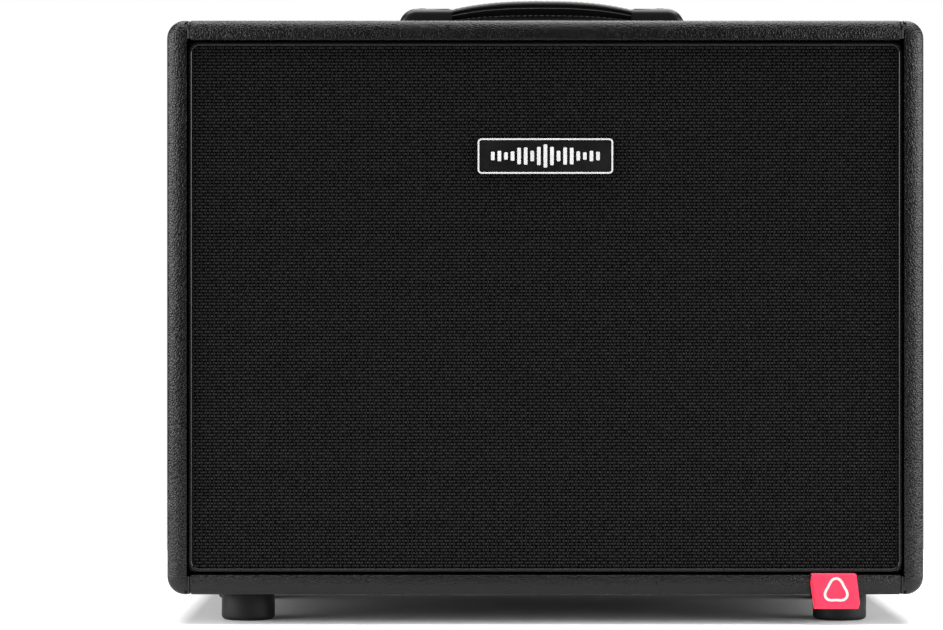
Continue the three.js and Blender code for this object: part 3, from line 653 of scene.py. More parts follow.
top = rounded_top((top_low.x, top_high.x), 0)
bevel(top, both(along("X"), at(("Z", top_low.z))), INNER_EDGE, 4)
bevel(top, lambda edge: all(abs(abs(v.co.x) - top_high.x) < 0.01 * MM for v in edge.verts), 0.7 * MM, 3)
wide = (top_low.x - 5 * MM, top_high.x + 5 * MM)
apply_boolean(top, rounded_top(wide, SKIN))
inner_face = (top_low.z - 5 * MM, top_low.z + SKIN + 0.2 * MM)
apply_boolean(top, block("window", wide, (front + FRONT_LIP, back - BACK_LIP), inner_face))
top.name = "top_vinyl"
settle(top, 35)
bottom = copy_of(top, "bottom_vinyl", mirror("Z", middle_z))
finish(top, "cabinet", vinyl, "vinyl", "top_covering")
finish(bottom, "cabinet", vinyl, "vinyl", "bottom_covering")
top_board = rounded_top((top_board_low.x, top_board_high.x), BOARD_INSET)
top_board.name = "top_plywood"
settle(top_board, 35)
bottom_board = copy_of(top_board, "bottom_plywood", mirror("Z", middle_z))
finish(bottom_board, "cabinet", sealed_ply, "plywood", "bottom_board")
finish(top_board, "cabinet", sealed_ply, "plywood", "top_board")

# %% [markdown]
# ## Seam beads and grille piping
# A bead of shiny black vinyl is pressed into each groove where the side covering meets the top and bottom.
# A thicker one runs round the grille and hides the cut edge of its cloth. Both are cords bent round a
# rounded rectangle: a plane's outline gets rounded corners, becomes a curve, and the curve gets a thickness.


# %% Bead helper
def bead_round(name, low, high, flat_axis, corner, radius, open_side=None, squeeze=1.0):
    """A round bead along a rounded rectangle that lies flat across one axis."""
    low, high = Vector(low), Vector(high)
    low.y, high.y = low.y * squeeze, high.y * squeeze
    alone()
    bpy.ops.mesh.primitive_plane_add(size=1)
    outline = bpy.context.object
    outline.name = name
    wide_axis, high_axis = [axis for axis in "XYZ" if axis != flat_axis]
    sizes = [high["XYZ".index(axis)] - low["XYZ".index(axis)] for axis in (wide_axis, high_axis)]
    turn = {"X": (math.pi / 2, 0, math.pi / 2), "Y": (math.pi / 2, 0, 0)}[flat_axis]
    outline.scale = (*sizes, 1)
    outline.rotation_euler = turn
    outline.location = (low + high) / 2
    settle(outline)
    edit(outline, "FACE", everything)
    bpy.ops.mesh.delete(type="ONLY_FACE")
    if open_side:
        edit(outline, "EDGE", at(open_side))
        bpy.ops.mesh.delete(type="EDGE")
        edit(outline, "VERT", lambda vertex: len(vertex.link_edges) == 2)
    else:
        edit(outline, "VERT", everything)
    bpy.ops.mesh.bevel(offset=corner, segments=8, affect="VERTICES")
    alone(outline)
    outline.data.transform(Matrix.Diagonal((1, 1 / squeeze, 1, 1)))
    bpy.ops.object.convert(target="CURVE")
    outline.data.bevel_depth = radius
    outline.data.bevel_resolution = 4
    outline.data.use_fill_caps = True
    bpy.ops.object.convert(target="MESH")
    edit(outline, "FACE", everything)
    bpy.ops.mesh.remove_doubles(threshold=0.001 * MM)
    settle(outline, 50)
    return outline


# %% Seam beads
bead_low, bead_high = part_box("seam_bead_top_right")
bead_radius = (bead_high.x - bead_low.x) / 2 - 0.1 * MM
bead_x = (bead_low.x + bead_high.x) / 2
sunk = bead_radius + 0.1 * MM
low = Vector((bead_x, front + sunk, bead_low.z))
high = Vector((bead_x, back - sunk, side_high.z - sunk))
top_bead = bead_round("seam_bead_top_right_vinyl", low, high, "X", OUTER_EDGE - sunk, bead_radius,
                      ("Z", bead_low.z), SQUEEZE)
for name, matrix in (("seam_bead_top_left", mirror("X")), ("seam_bead_bottom_right", mirror("Z", middle_z)),
                     ("seam_bead_bottom_left", mirror("X") @ mirror("Z", middle_z))):
    finish(copy_of(top_bead, name + "_vinyl", matrix), "cabinet", bead_vinyl, "edge_bead", name)
finish(top_bead, "cabinet", bead_vinyl, "edge_bead", "seam_bead_top_right")

# %% Grille piping
piping_low, piping_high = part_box("grille_piping")
piping_radius = (piping_high.y - piping_low.y) / 2
inward = Vector((piping_radius, 0, piping_radius))
across_y = Vector((0, (piping_low.y + piping_high.y) / 2, 0))
low = Vector((piping_low.x, 0, piping_low.z)) + inward + across_y
high = Vector((piping_high.x, 0, piping_high.z)) - inward + across_y
piping = bead_round("grille_piping_vinyl", low, high, "Y", 6.5 * MM, piping_radius)
finish(piping, "cabinet", bead_vinyl, "edge_bead", "grille_piping")

# %% [markdown]
# ## The grille cloth
# The cloth is stretched over its frame and held by the piping, so it lies almost flat: the tension pulls it
# in by a hair between the rails. A grid with rounded corners has its middle eased back by a fraction of a
# millimetre, and then gets a thickness.

# %% Grille cloth
cloth_low, cloth_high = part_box("grille_cloth")
cloth_middle = (cloth_low + cloth_high) / 2
alone()
bpy.ops.mesh.primitive_grid_add(x_subdivisions=24, y_subdivisions=18, size=1, location=cloth_middle,
                                rotation=(math.pi / 2, 0, 0))
grille = bpy.context.object
grille.name = "grille_cloth_woven"
grille.scale = (cloth_high.x - cloth_low.x, cloth_high.z - cloth_low.z, 1)
settle(grille)
bevel(grille, lambda vertex: len(vertex.link_edges) == 2, 2.2 * MM, 4, "VERT")
half = (cloth_high - cloth_low) / 2
for vertex in grille.data.vertices:
    away_x = (vertex.co.x - cloth_middle.x) / half.x
    away_z = (vertex.co.z - cloth_middle.z) / half.z
    vertex.co.y = cloth_low.y + 0.5 * MM + 0.35 * MM * (1 - away_x ** 4) * (1 - away_z ** 4)
thickness = grille.modifiers.new("thickness", "SOLIDIFY")
thickness.thickness = 0.5 * MM
thickness.offset = 0
alone(grille)
bpy.ops.object.modifier_apply(modifier=thickness.name)
settle(grille, 30)
finish(grille, "cabinet", cloth, "grille_cloth", "grille_cloth")

# %% [markdown]
# ## The badge
# A small moulded plate with a thin raised border and a row of upright bars, like the picture of a sound.
# The plate is black and the raised parts are printed white. The border starts as a slab a little smaller than
# the plate. Both of its faces are inset and opened, and a wall joins the two holes.

# %% Badge plate
badge_low, badge_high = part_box("badge_plate")
plate_front = badge_low.y + 0.4 * MM
plate = block("badge_plate_moulded", (badge_low.x, badge_high.x), (plate_front, badge_high.y),
              (badge_low.z, badge_high.z))
bevel(plate, along("Y"), 3 * MM, 8)
bevel(plate, lies("Y", plate_front), 0.3 * MM, 2)
settle(plate, 35)
finish(plate, "cabinet", moulded, "badge", "badge_plate")

# %% Badge border and bars
def framed(piece, width):
    """Opens a slab that faces along Y, and leaves a border of one width."""
    edit(piece, "FACE", lambda face: abs(face.normal.y) > 0.99)
    bpy.ops.mesh.inset(thickness=width)
    bpy.ops.mesh.delete(type="FACE")
    edit(piece, "EDGE", lambda edge: edge.is_boundary)
    bpy.ops.mesh.bridge_edge_loops()


RIM_INSET = 0.4 * MM
print_y = (badge_low.y, plate_front + 0.05 * MM)
rim = block("badge_border", (badge_low.x + RIM_INSET, badge_high.x - RIM_INSET), print_y,
            (badge_low.z + RIM_INSET, badge_high.z - RIM_INSET))
bevel(rim, along("Y"), 2.8 * MM, 8)
framed(rim, 1.1 * MM)
settle(rim, 35)
BAR_COUNT, BAR_WIDTH, BAR_STEP = 17, 2.5 * MM, 4.6 * MM
badge_z = (badge_low.z + badge_high.z) / 2
bars = []
for index in range(BAR_COUNT):
    place = index - (BAR_COUNT - 1) / 2
    swell = abs(math.cos(place * 0.85)) * 0.65 + 0.35 * math.exp(-(place / 5) ** 2)
    tall = (2.2 + 14 * swell * math.exp(-(place / 9) ** 2)) * MM
    bar = block("bar", around(place * BAR_STEP, BAR_WIDTH / 2), print_y, around(badge_z, tall / 2))
    bevel(bar, along("Y"), 0.6 * MM, 4)
    bars.append(bar)
print(len(bars), "bars")
marks = join("badge_border_and_bars", [rim, *bars])
bevel(marks, both(lies("Y", badge_low.y), lambda edge: edge.calc_face_angle(0) > 1), 0.12 * MM, 1)
settle(marks, 35)
finish(marks, "cabinet", white_print, "badge")

# %% [markdown]
# ## The red tag
# A length of ribbon is folded in half, and both cut ends are held in the gap under the grille. It bends over
# the front edge, hangs in front of the bottom board, and its fold shows below the cabinet. It leans a little
# to the right. The ribbon is one strip that goes down the front, round the fold and back up behind, so the
# second layer peeps out at one side.

# %% Tag path
tag_low, tag_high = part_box("fabric_tag")
TAG_WIDTH, TAG_LEAN, TAG_LAYER = 31.3 * MM, 0.128, 0.35 * MM
gap_z = tag_high.z
tag_left = tag_low.x


def ribbon_path():
    """(Y, Z) points: out of the gap, over the edge, down, round the fold and back up behind."""
    face, behind = tag_low.y + 0.3 * MM, tag_low.y + 1.7 * MM
    inside = tag_high.y - 0.3 * MM
    upper, lower = gap_z - 0.25 * MM, gap_z - 0.7 * MM
    points = [(inside, upper), (front + 4 * MM, upper)]
    for step in range(7):
        angle = math.radians(90 * step / 6)
        points.append((face + 1.6 * MM * (1 - math.sin(angle)), upper - 1.6 * MM * (1 - math.cos(angle))))
    bottom_z = tag_low.z + 1.2 * MM
    for step in range(1, 12):
        share = step / 12
        belly = 0.25 * MM * math.sin(math.pi * share)
        points.append((face - belly + 0.25 * MM, upper - 1.6 * MM + (bottom_z - upper + 1.6 * MM) * share))
    for step in range(9):
        angle = math.pi * step / 8
        reach_y = (behind - face) / 2
        points.append((face + reach_y * (1 - math.cos(angle)), bottom_z - 1.0 * MM * math.sin(angle)))
    for step in range(1, 8):
        share = step / 8
        points.append((behind, bottom_z + (lower - 1.6 * MM - bottom_z) * share))
    points += [(behind + 0.5 * MM, lower - 0.4 * MM), (front + 4 * MM, lower), (inside, lower)]
    return points


# %% Tag strip
tag_points = ribbon_path()
alone()
bpy.ops.mesh.primitive_grid_add(x_subdivisions=12, y_subdivisions=len(tag_points) - 1, size=1)
tag = bpy.context.object
tag.name = "red_ribbon"
for vertex in tag.data.vertices:
    row = round((vertex.co.y + 0.5) * (len(tag_points) - 1))
    y, z = tag_points[row]
    share = vertex.co.x + 0.5
    layer = -1.5 * MM if row > len(tag_points) / 2 and z < gap_z - 3 * MM else 0
    hanging = max(0, min(1, (gap_z - z) / (20 * MM)))
    wave = 0.12 * MM * hanging * math.sin(share * 5 + z / MM * 0.25)
    x = tag_left + share * TAG_WIDTH + TAG_LEAN * (gap_z - z) + layer
    vertex.co = (x, y + wave, z)
thickness = tag.modifiers.new("thickness", "SOLIDIFY")
thickness.thickness = TAG_LAYER
thickness.offset = 0
smoother = tag.modifiers.new("smoother", "SUBSURF")
smoother.levels = smoother.render_levels = 1
alone(tag)
bpy.ops.object.modifier_apply(modifier=thickness.name)
bpy.ops.object.modifier_apply(modifier=smoother.name)
settle(tag, 60)


# %% Tag mark
def pick_outline(name, middle, size):
    """A plain rounded triangle like a plectrum, pressed flat on the ribbon."""
    alone()
    bpy.ops.mesh.primitive_circle_add(vertices=48, radius=size, fill_type="NGON")
    mark = bpy.context.object
    mark.name = name
    for vertex in mark.data.vertices:
        angle = math.atan2(vertex.co.y, vertex.co.x)
        swell = 1 - 0.14 * math.sin(3 * angle) + 0.03 * math.sin(angle)
        vertex.co.x, vertex.co.y = vertex.co.x * swell * 0.98, vertex.co.y * swell
    edit(mark, "FACE", everything)
    bpy.ops.mesh.inset(thickness=1.7 * MM)
    bpy.ops.mesh.delete(type="FACE")
    edit(mark, "FACE", everything)
    bpy.ops.mesh.extrude_region_move(TRANSFORM_OT_translate={"value": (0, 0, 0.12 * MM)})
    mark.rotation_euler = (math.pi / 2, 0, 0)
    mark.location = middle
    settle(mark, 35)
    return mark


mark_z = (tag_low.z + gap_z) / 2 + 0.2 * MM
mark_x = tag_left + TAG_WIDTH / 2 + TAG_LEAN * (gap_z - mark_z)
tag_mark = pick_outline("ribbon_mark", (mark_x, tag_low.y + 0.22 * MM, mark_z), 8.4 * MM)
finish(tag_mark, "cabinet", white_print, "tag")
finish(tag, "cabinet", red_satin, "tag", "fabric_tag")

# %% [markdown]
# ## Rubber feet
# Each foot is a round rubber block with a rounded lower edge and a deep hole for its screw. A cylinder gives
# the block. Its underside is inset and pushed in to make the hole, and a washer and a screw sit inside.


# %% Screw helper
def pan_head(name, radius, tall, sides=24):
    """A screw head at the origin that faces +Z, with a cross cut in its dome."""
    head = rod(name, radius, (0, 0, 0), (0, 0, tall), sides)
    bevel(head, lies("Z", tall), tall * 0.7, 4)
    for turn in (0, math.pi / 2):
        slot = block("slot", around(0, radius * 0.55), around(0, radius * 0.12), (tall * 0.45, tall * 2))
        slot.data.transform(Matrix.Rotation(turn, 4, "Z"))
        apply_boolean(head, slot)
    settle(head, 30)
    return head


def placed(original, name, places, direction):
    """Copies of a piece that faces +Z, turned to a direction and joined as one object."""
    turn = Vector(direction).to_track_quat("Z", "Y").to_matrix().to_4x4()
    made = [copy_of(original, name, Matrix.Translation(place) @ turn) for place in places]
    return join(name, made)


# %% Feet
foot_names = ("foot_front_left", "foot_front_right", "foot_back_left", "foot_back_right")
foot_low, foot_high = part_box("foot_front_left")
foot_radius = (foot_high.x - foot_low.x) / 2
FOOT_EDGE, HOLE_RADIUS, HOLE_DEPTH = 3 * MM, 6.5 * MM, 12 * MM
foot = rod("foot", foot_radius, (0, 0, 0), (0, 0, foot_high.z), 56)
bevel(foot, lies("Z", 0), FOOT_EDGE, 5)
edit(foot, "FACE", both(facing(0, 0, -1), at(("Z", 0))))
bpy.ops.mesh.inset(thickness=foot_radius - FOOT_EDGE - HOLE_RADIUS)
bpy.ops.mesh.extrude_region_move(TRANSFORM_OT_translate={"value": (0, 0, HOLE_DEPTH)})
bevel(foot, lies("Z", foot_high.z), 0.6 * MM, 2)
settle(foot, 40)
foot_screw = pan_head("foot_screw", 4.2 * MM, 2.4 * MM)
washer = rod("washer", 6.1 * MM, (0, 0, 0), (0, 0, 1.0 * MM), 32)
bevel(washer, lambda e: abs(e.verts[0].co.z - e.verts[1].co.z) < 0.01 * MM, 0.2 * MM, 2)
washer.data.transform(Matrix.Translation((0, 0, -1.0 * MM)))
foot_screw = join("foot_screw", [foot_screw, washer])
for name in foot_names:
    low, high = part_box(name)
    centre = Vector(((low.x + high.x) / 2, (low.y + high.y) / 2, 0))
    finish(copy_of(foot, name + "_rubber", Matrix.Translation(centre)), "cabinet", rubber, "rubber", name)
    seat = centre + Vector((0, 0, HOLE_DEPTH - 1.1 * MM))
    screw = placed(foot_screw, name + "_screw", [seat], (0, 0, -1))
    finish(screw, "cabinet", zinc, "plated_steel")
for spare in (foot, foot_screw):
    bpy.data.objects.remove(spare)

# %% [markdown]
# ## The handle
# A steel band inside two layers of soft vinyl makes a flat strap that arches between two moulded end caps.
# A groove runs along each edge where the layers meet, and a row of stitches runs beside it. Lifted, the
# middle rises and the necks bend. So the strap is made whole, arched by a formula, and cut in three: the
# middle rides with the handle, and each neck is left unattached, in its resting arch. Its stitches are made
# for each of the three stretches. The underside is padded, so it swells towards the middle of the strap.

# %% Strap sizes
grip_low, grip_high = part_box("handle_grip")
neck_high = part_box("handle_neck_right")[1]
cap_low, cap_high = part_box("handle_cap_right")
panel_top = side_high.z
ARCH_HALF, ARCH_RISE, END_HEIGHT = 72 * MM, 7.9 * MM, 17.2 * MM
STRAP_THICK, END_THICK, BELLY = 9 * MM, 7.4 * MM, 4.2 * MM
strap_half = (grip_high.y - grip_low.y) / 2
print("strap", round(2 * strap_half / MM), "mm wide, top at", round((grip_high.z - panel_top) / MM, 1))


def arch(x):
    """How far the strap has risen at x, from 0 at its ends to 1 in the middle."""
    return 1 - min(abs(x) / ARCH_HALF, 1) ** 2.55


# %% Strap
strap = block("strap", (-neck_high.x, neck_high.x), (-strap_half, strap_half), (-1, 0))
strap.data.transform(Matrix.Diagonal((1, 1, STRAP_THICK, 1)))
bevel(strap, along("X"), 3.2 * MM, 5)
GROOVE_DEPTH, GROOVE_HALF = 1.1 * MM, 0.55 * MM
for cut_z in around(-STRAP_THICK / 2, GROOVE_HALF):
    edit(strap, "FACE", everything)
    bpy.ops.mesh.bisect(plane_co=(0, 0, cut_z), plane_no=(0, 0, 1))
edit(strap, "FACE", lambda f: abs(f.normal.y) > 0.9 and at(("Z", -STRAP_THICK / 2))(f))
bpy.ops.mesh.inset(thickness=0.0001 * MM, depth=-GROOVE_DEPTH, use_boundary=True)


def mouth_of_groove(edge):
    """The long edges where a groove opens in the side of the strap."""
    return along("X")(edge) and all(
        abs(abs(vertex.co.z + STRAP_THICK / 2) - GROOVE_HALF) < 0.01 * MM
        and abs(vertex.co.y) > strap_half - 0.01 * MM for vertex in edge.verts)


bevel(strap, mouth_of_groove, 1.2 * MM, 3)
for step in range(-29, 30):
    edit(strap, "FACE", everything)
    bpy.ops.mesh.bisect(plane_co=(step * 3 * MM, 0, 0), plane_no=(1, 0, 0))
for step in range(-3, 4):
    edit(strap, "FACE", facing(0, 0, -1))
    bpy.ops.mesh.bisect(plane_co=(0, step * 3.5 * MM, 0), plane_no=(0, 1, 0))
alone()


def lift(piece):
    """Bends a straight strap, whose upper face is at Z = 0, into its arch over the cabinet."""
    for vertex in piece.data.vertices:
        rise = arch(vertex.co.x)
        if vertex.co.z < -STRAP_THICK + 0.5 * MM:
            vertex.co.z -= BELLY * rise * max(0, 1 - (vertex.co.y / strap_half) ** 2)
        thick = (END_THICK + (STRAP_THICK - END_THICK) * rise) / STRAP_THICK
        vertex.co.z = panel_top + END_HEIGHT + ARCH_RISE * rise + vertex.co.z * thick


lift(strap)
settle(strap, 40)
strap.data.materials.append(strap_vinyl)

# %% Stitches
STITCH, STITCH_STEP, STITCH_Y = 2.6 * MM, 4.2 * MM, strap_half - 3.4 * MM
thread = speckled("waxed_thread", (0.06, 0.06, 0.062), 0.5, 3000, 0.03 * MM)
stitch = rod("stitch", 0.42 * MM, (-STITCH / 2, 0, 0), (STITCH / 2, 0, 0), 8)
bevel(stitch, lambda e: abs(e.verts[0].co.x - e.verts[1].co.x) < 0.01 * MM, 0.3 * MM, 2)


def stitches_between(name, x_low, x_high):
    """Both rows of stitches, above and below the strap, whose middle lies in a stretch."""
    made = []
    for side_sign in (-1, 1):
        for face_z in (-0.25 * MM, -STRAP_THICK - 0.02 * MM):
            for index in range(-17, 18):
                if x_low < index * STITCH_STEP < x_high:
                    place = (index * STITCH_STEP, side_sign * STITCH_Y, face_z)
                    made.append(copy_of(stitch, "stitch", Matrix.Translation(place)))
    seam = join(name, made)
    lift(seam)
    settle(seam, 60)
    seam.data.materials.append(thread)
    return seam


# %% Cut the strap in three
def between(piece, name, x_low, x_high):
    """A copy of the part of a piece between two places along X, with closed ends."""
    made = copy_of(piece, name)
    for x, direction in ((x_low, -1), (x_high, 1)):
        edit(made, "FACE", everything)
        bpy.ops.mesh.bisect(plane_co=(x, 0, 0), plane_no=(direction, 0, 0), clear_outer=True, use_fill=True)
    settle(made, 40)
    return made


grip_half = grip_high.x
grip = between(strap, "strap_grip", -grip_half, grip_half)
grip_seam = stitches_between("strap_grip_stitches", -grip_half, grip_half)
finish(grip, "handle", None, "strap", "handle_grip")
finish(grip_seam, "handle", None, "strap")
for side_name, sign in (("right", 1), ("left", -1)):
    ends = sorted((sign * grip_half, sign * neck_high.x))
    neck = between(strap, "strap_neck_" + side_name, *ends)
    neck_seam = stitches_between("strap_neck_stitches_" + side_name, *ends)
    for piece in (neck, neck_seam):
        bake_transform(piece)
        print(piece.name, len(piece.data.polygons), "faces")
    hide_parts("handle_neck_" + side_name)
for spare in (strap, stitch):
    bpy.data.objects.remove(spare)

# %% Handle caps
cap = block("handle_cap", (cap_low.x, cap_high.x), (cap_low.y, cap_high.y), (cap_low.z, cap_high.z))
bevel(cap, both(along("Y"), at(("X", cap_high.x), ("Z", cap_high.z))), 13 * MM, 10)


def side_of_cap(edge):
    """The sharp edges that go over the cap at its front and at its back."""
    raised = all(vertex.co.z > cap_low.z + 0.01 * MM for vertex in edge.verts)
    sharp = edge.calc_face_angle(0) > 1
    return raised and sharp and abs(edge.verts[0].co.y) > 1 * MM and not along("Y")(edge)


bevel(cap, side_of_cap, 5 * MM, 6)
POCKET = (panel_top + 9.2 * MM, panel_top + 17.8 * MM)
pocket = block("pocket", (cap_low.x - 5 * MM, cap_high.x - 9 * MM), (-15.6 * MM, 15.6 * MM), POCKET)
edit(pocket, "VERT", lambda v: v.co.x < cap_low.x and v.co.z > panel_top + 15 * MM)
bpy.ops.transform.translate(value=(0, 0, 2.0 * MM))
alone()
apply_boolean(cap, pocket)
settle(cap, 35)
cap_screw = pan_head("cap_screw", 3.4 * MM, 1.6 * MM)
cap_screws = placed(cap_screw, "handle_cap_screws",
                    [(sign * 88 * MM, 0, cap_high.z - 0.2 * MM) for sign in (-1, 1)], (0, 0, 1))
finish(cap_screws, "cabinet", black_zinc, "painted_steel")
bpy.data.objects.remove(cap_screw)
finish(copy_of(cap, "handle_cap_left_moulded", mirror("X")), "cabinet", moulded, "moulded_plastic",
       "handle_cap_left")
cap.name = "handle_cap_right_moulded"
finish(cap, "cabinet", moulded, "moulded_plastic", "handle_cap_right")

# %% [markdown]
# ## The back
# The back panel is a covered board with an opening for the power module, held by screws round its edge. The
# module's steel panel is powder coated, with printed scales round its knobs. The knobs have a fluted skirt
# and a white pointer, and every socket is modelled open, so a plug can go in.

# %% Back panel
back_low, back_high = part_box("back_panel")
amp_low, amp_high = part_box("amp_panel")
amp_z = (amp_low.z + amp_high.z) / 2
rear = block("back_panel_covered", (back_low.x, back_high.x), (back_low.y, back_high.y),
             (back_low.z, back_high.z))
bevel(rear, along("Y"), 4 * MM, 5)
bevel(rear, lies("Y", back_high.y), 2 * MM, 4)
apply_boolean(rear, block("opening", around(0, 190 * MM), (back_low.y - MM, back_high.y + MM),
                          around(amp_z, 50 * MM)))
settle(rear, 35)
finish(rear, "cabinet", vinyl, "vinyl", "back_panel")

# %% Back screws
panel_screw = pan_head("panel_screw", 4.2 * MM, 2.2 * MM)
edge_x, edge_low, edge_high = back_high.x - 10 * MM, back_low.z + 10 * MM, back_high.z - 10 * MM
spots = [(x, z) for x in (-edge_x, -edge_x / 3, edge_x / 3, edge_x) for z in (edge_low, edge_high)]
spots += [(x, back_low.z + 125 * MM) for x in (-edge_x, edge_x)]
places = [(x, back_high.y - 0.1 * MM, z) for x, z in spots]
finish(placed(panel_screw, "back_panel_screws", places, (0, 1, 0)), "cabinet", black_zinc, "painted_steel")
corner_x, corner_z = amp_high.x - 7 * MM, (amp_high.z - amp_low.z) / 2 - 7 * MM
places = [(x, amp_high.y - 0.1 * MM, amp_z + z) for x in (-corner_x, -corner_x / 3, corner_x / 3, corner_x)
          for z in (-corner_z, corner_z)]
finish(placed(panel_screw, "amp_panel_screws", places, (0, 1, 0)), "cabinet", black_zinc, "painted_steel")
bpy.data.objects.remove(panel_screw)


# %% Knobs
KNOBS = ("volume", "bass", "middle", "treble")
low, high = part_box("volume_knob")
knob_radius, knob_face = (high.x - low.x) / 2, high.y
knob_foot = knob_face - 10.2 * MM
knob = rod("knob", knob_radius, (0, knob_foot, 0), (0, knob_face, 0), 48)
for vertex in knob.data.vertices:
    if abs(math.hypot(vertex.co.x, vertex.co.z) - knob_radius) < 0.05 * MM and vertex.co.y > knob_face - MM:
        step = round(math.atan2(vertex.co.z, vertex.co.x) / (math.pi / 24))
        shrink = 0.86 if step % 2 else 0.9
        vertex.co.x *= shrink
        vertex.co.z *= shrink
shaft = rod("shaft", 3 * MM, (0, low.y, 0), (0, knob_foot + 0.5 * MM, 0), 20)
knob = join("knob", [knob, shaft])
settle(knob, 30)
pointer = block("pointer", around(0, 0.55 * MM), (knob_face - 0.35 * MM, knob_face),
                (2.5 * MM, knob_radius * 0.84))
bevel(pointer, both(along("X"), at(("Y", knob_face))), 0.2 * MM, 2)
pointer.data.transform(Matrix.Translation((0, -0.02 * MM, 0)))
settle(pointer, 30)
for name in KNOBS:
    x, z = middle_of(name + "_knob")
    move = Matrix.Translation((x, 0, z))
    finish(copy_of(knob, name + "_knob_moulded", move), name + "_knob", moulded, "moulded_plastic",
           name + "_knob")
    finish(copy_of(pointer, name + "_pointer", move), name + "_knob", white_print, "badge")
for spare in (knob, pointer):
    bpy.data.objects.remove(spare)

# %% Printed scales
PRINT = 0.06 * MM


def digit(value, x, z, tall):
    """A number that reads rightly from behind the cabinet."""
    alone()
    bpy.ops.object.text_add(rotation=(math.pi / 2, 0, math.pi))
    letter = bpy.context.object
    letter.data.body = str(value)
    letter.data.size = tall
    letter.data.align_x, letter.data.align_y = "CENTER", "CENTER"
    letter.data.extrude = PRINT / 2
    letter.location = (x, amp_high.y + PRINT / 2, z)
    bpy.ops.object.convert(target="MESH")
    settle(letter)
    return letter


scale_marks = []
for name in KNOBS:
    x, z = middle_of(name + "_knob")
    for step in range(11):
        angle = math.radians(240 - 30 * step)
        numbered = step % 5 == 0
        ends = (knob_radius + 1.6 * MM, knob_radius + (4.0 if numbered else 3.0) * MM)
        tick = block("tick", ends, (amp_high.y, amp_high.y + PRINT), around(0, 0.22 * MM))
        tick.data.transform(Matrix.Translation((x, 0, z)) @ Matrix.Rotation(-angle, 4, "Y"))
        scale_marks.append(tick)
        if numbered:
            away = knob_radius + 6.6 * MM
            scale_marks.append(digit(step, x + away * math.cos(angle), z + away * math.sin(angle), 4.2 * MM))
print(len(scale_marks), "ticks and numbers")
scales = join("printed_scales", scale_marks)
finish(scales, "cabinet", white_print, "badge")

# %% [markdown]
# ## Switch, button and light
# The power switch is a rocker in a bezel. Its two faces meet in a shallow V, and it rests with one end
# pressed in. The ground-lift button is a short round plunger, and a small green light sits above it.

# %% Switch bezel
def faceplate(name, low, high, thick, corner, edge):
    """A plate on the panel, with rounded corners and a softened front edge."""
    plate = block(name, (low.x, high.x), (high.y - thick, high.y), (low.z, high.z))
    bevel(plate, along("Y"), corner, 5)
    bevel(plate, lies("Y", high.y), edge, 3)
    return plate


low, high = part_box("power_switch_bezel")
bezel_x, bezel_z = middle_of("power_switch_bezel")
bezel = faceplate("power_switch_bezel_moulded", low, high, 1.8 * MM, 1.4 * MM, 0.7 * MM)
switch_body = block("switch_body", around(bezel_x, 7.5 * MM), (low.y, high.y - 0.9 * MM),
                    around(bezel_z, 10.6 * MM))
apply_boolean(bezel, switch_body, "UNION")
apply_boolean(bezel, block("well", around(bezel_x, 6.7 * MM), (high.y - 11 * MM, high.y + MM),
                           around(bezel_z, 9.9 * MM)))
settle(bezel, 30)
finish(bezel, "cabinet", moulded, "moulded_plastic", "power_switch_bezel")

# %% Rocker
ROCKER_REST, REACH, CROWN, DIP = math.radians(11), 9.2 * MM, 6 * MM, 4.4 * MM
pivot = Vector((bezel_x, amp_low.y + 0.6 * MM, bezel_z))
key = block("power_rocker_moulded", around(0, 6.2 * MM), (-2 * MM, CROWN), (-REACH, REACH))
edit(key, "FACE", everything)
bpy.ops.mesh.bisect(plane_co=(0, 0, 0), plane_no=(0, 0, 1))
edit(key, "VERT", lambda v: v.co.y > 0 and abs(v.co.z) < 0.01 * MM)
bpy.ops.transform.translate(value=(0, DIP - CROWN, 0))
edit(key, "VERT", lambda v: v.co.y < 0 and abs(v.co.z) > 5 * MM)
bpy.ops.transform.resize(value=(1, 1, 0.6), center_override=(0, 0, 0))
alone()
bevel(key, lambda e: e.calc_face_angle(0) > 0.6, 0.7 * MM, 3)
ring_mark = rod("off_mark", 1.9 * MM, (0, CROWN - 0.7 * MM, -5 * MM), (0, CROWN - 0.45 * MM, -5 * MM), 28)
framed(ring_mark, 0.5 * MM)
line_mark = block("on_mark", around(0, 0.3 * MM), (CROWN - 0.7 * MM, CROWN - 0.45 * MM), (3 * MM, 7 * MM))
slope = math.atan2(CROWN - DIP, REACH)
for mark, sign in ((ring_mark, -1), (line_mark, 1)):
    pin = Vector((0, CROWN - 0.6 * MM, sign * 5 * MM))
    tilt = Matrix.Translation(pin) @ Matrix.Rotation(sign * slope, 4, "X") @ Matrix.Translation(-pin)
    mark.data.transform(Matrix.Translation((0, -0.28 * MM, 0)) @ tilt)
rocker_marks = join("power_rocker_marks", [ring_mark, line_mark])
rest = Matrix.Translation(pivot) @ Matrix.Rotation(-ROCKER_REST, 4, "X")
for piece in (key, rocker_marks):
    piece.data.transform(rest)
    settle(piece, 35)
finish(key, "power_rocker", moulded, "moulded_plastic", "power_rocker")
finish(rocker_marks, "power_rocker", white_print, "badge")

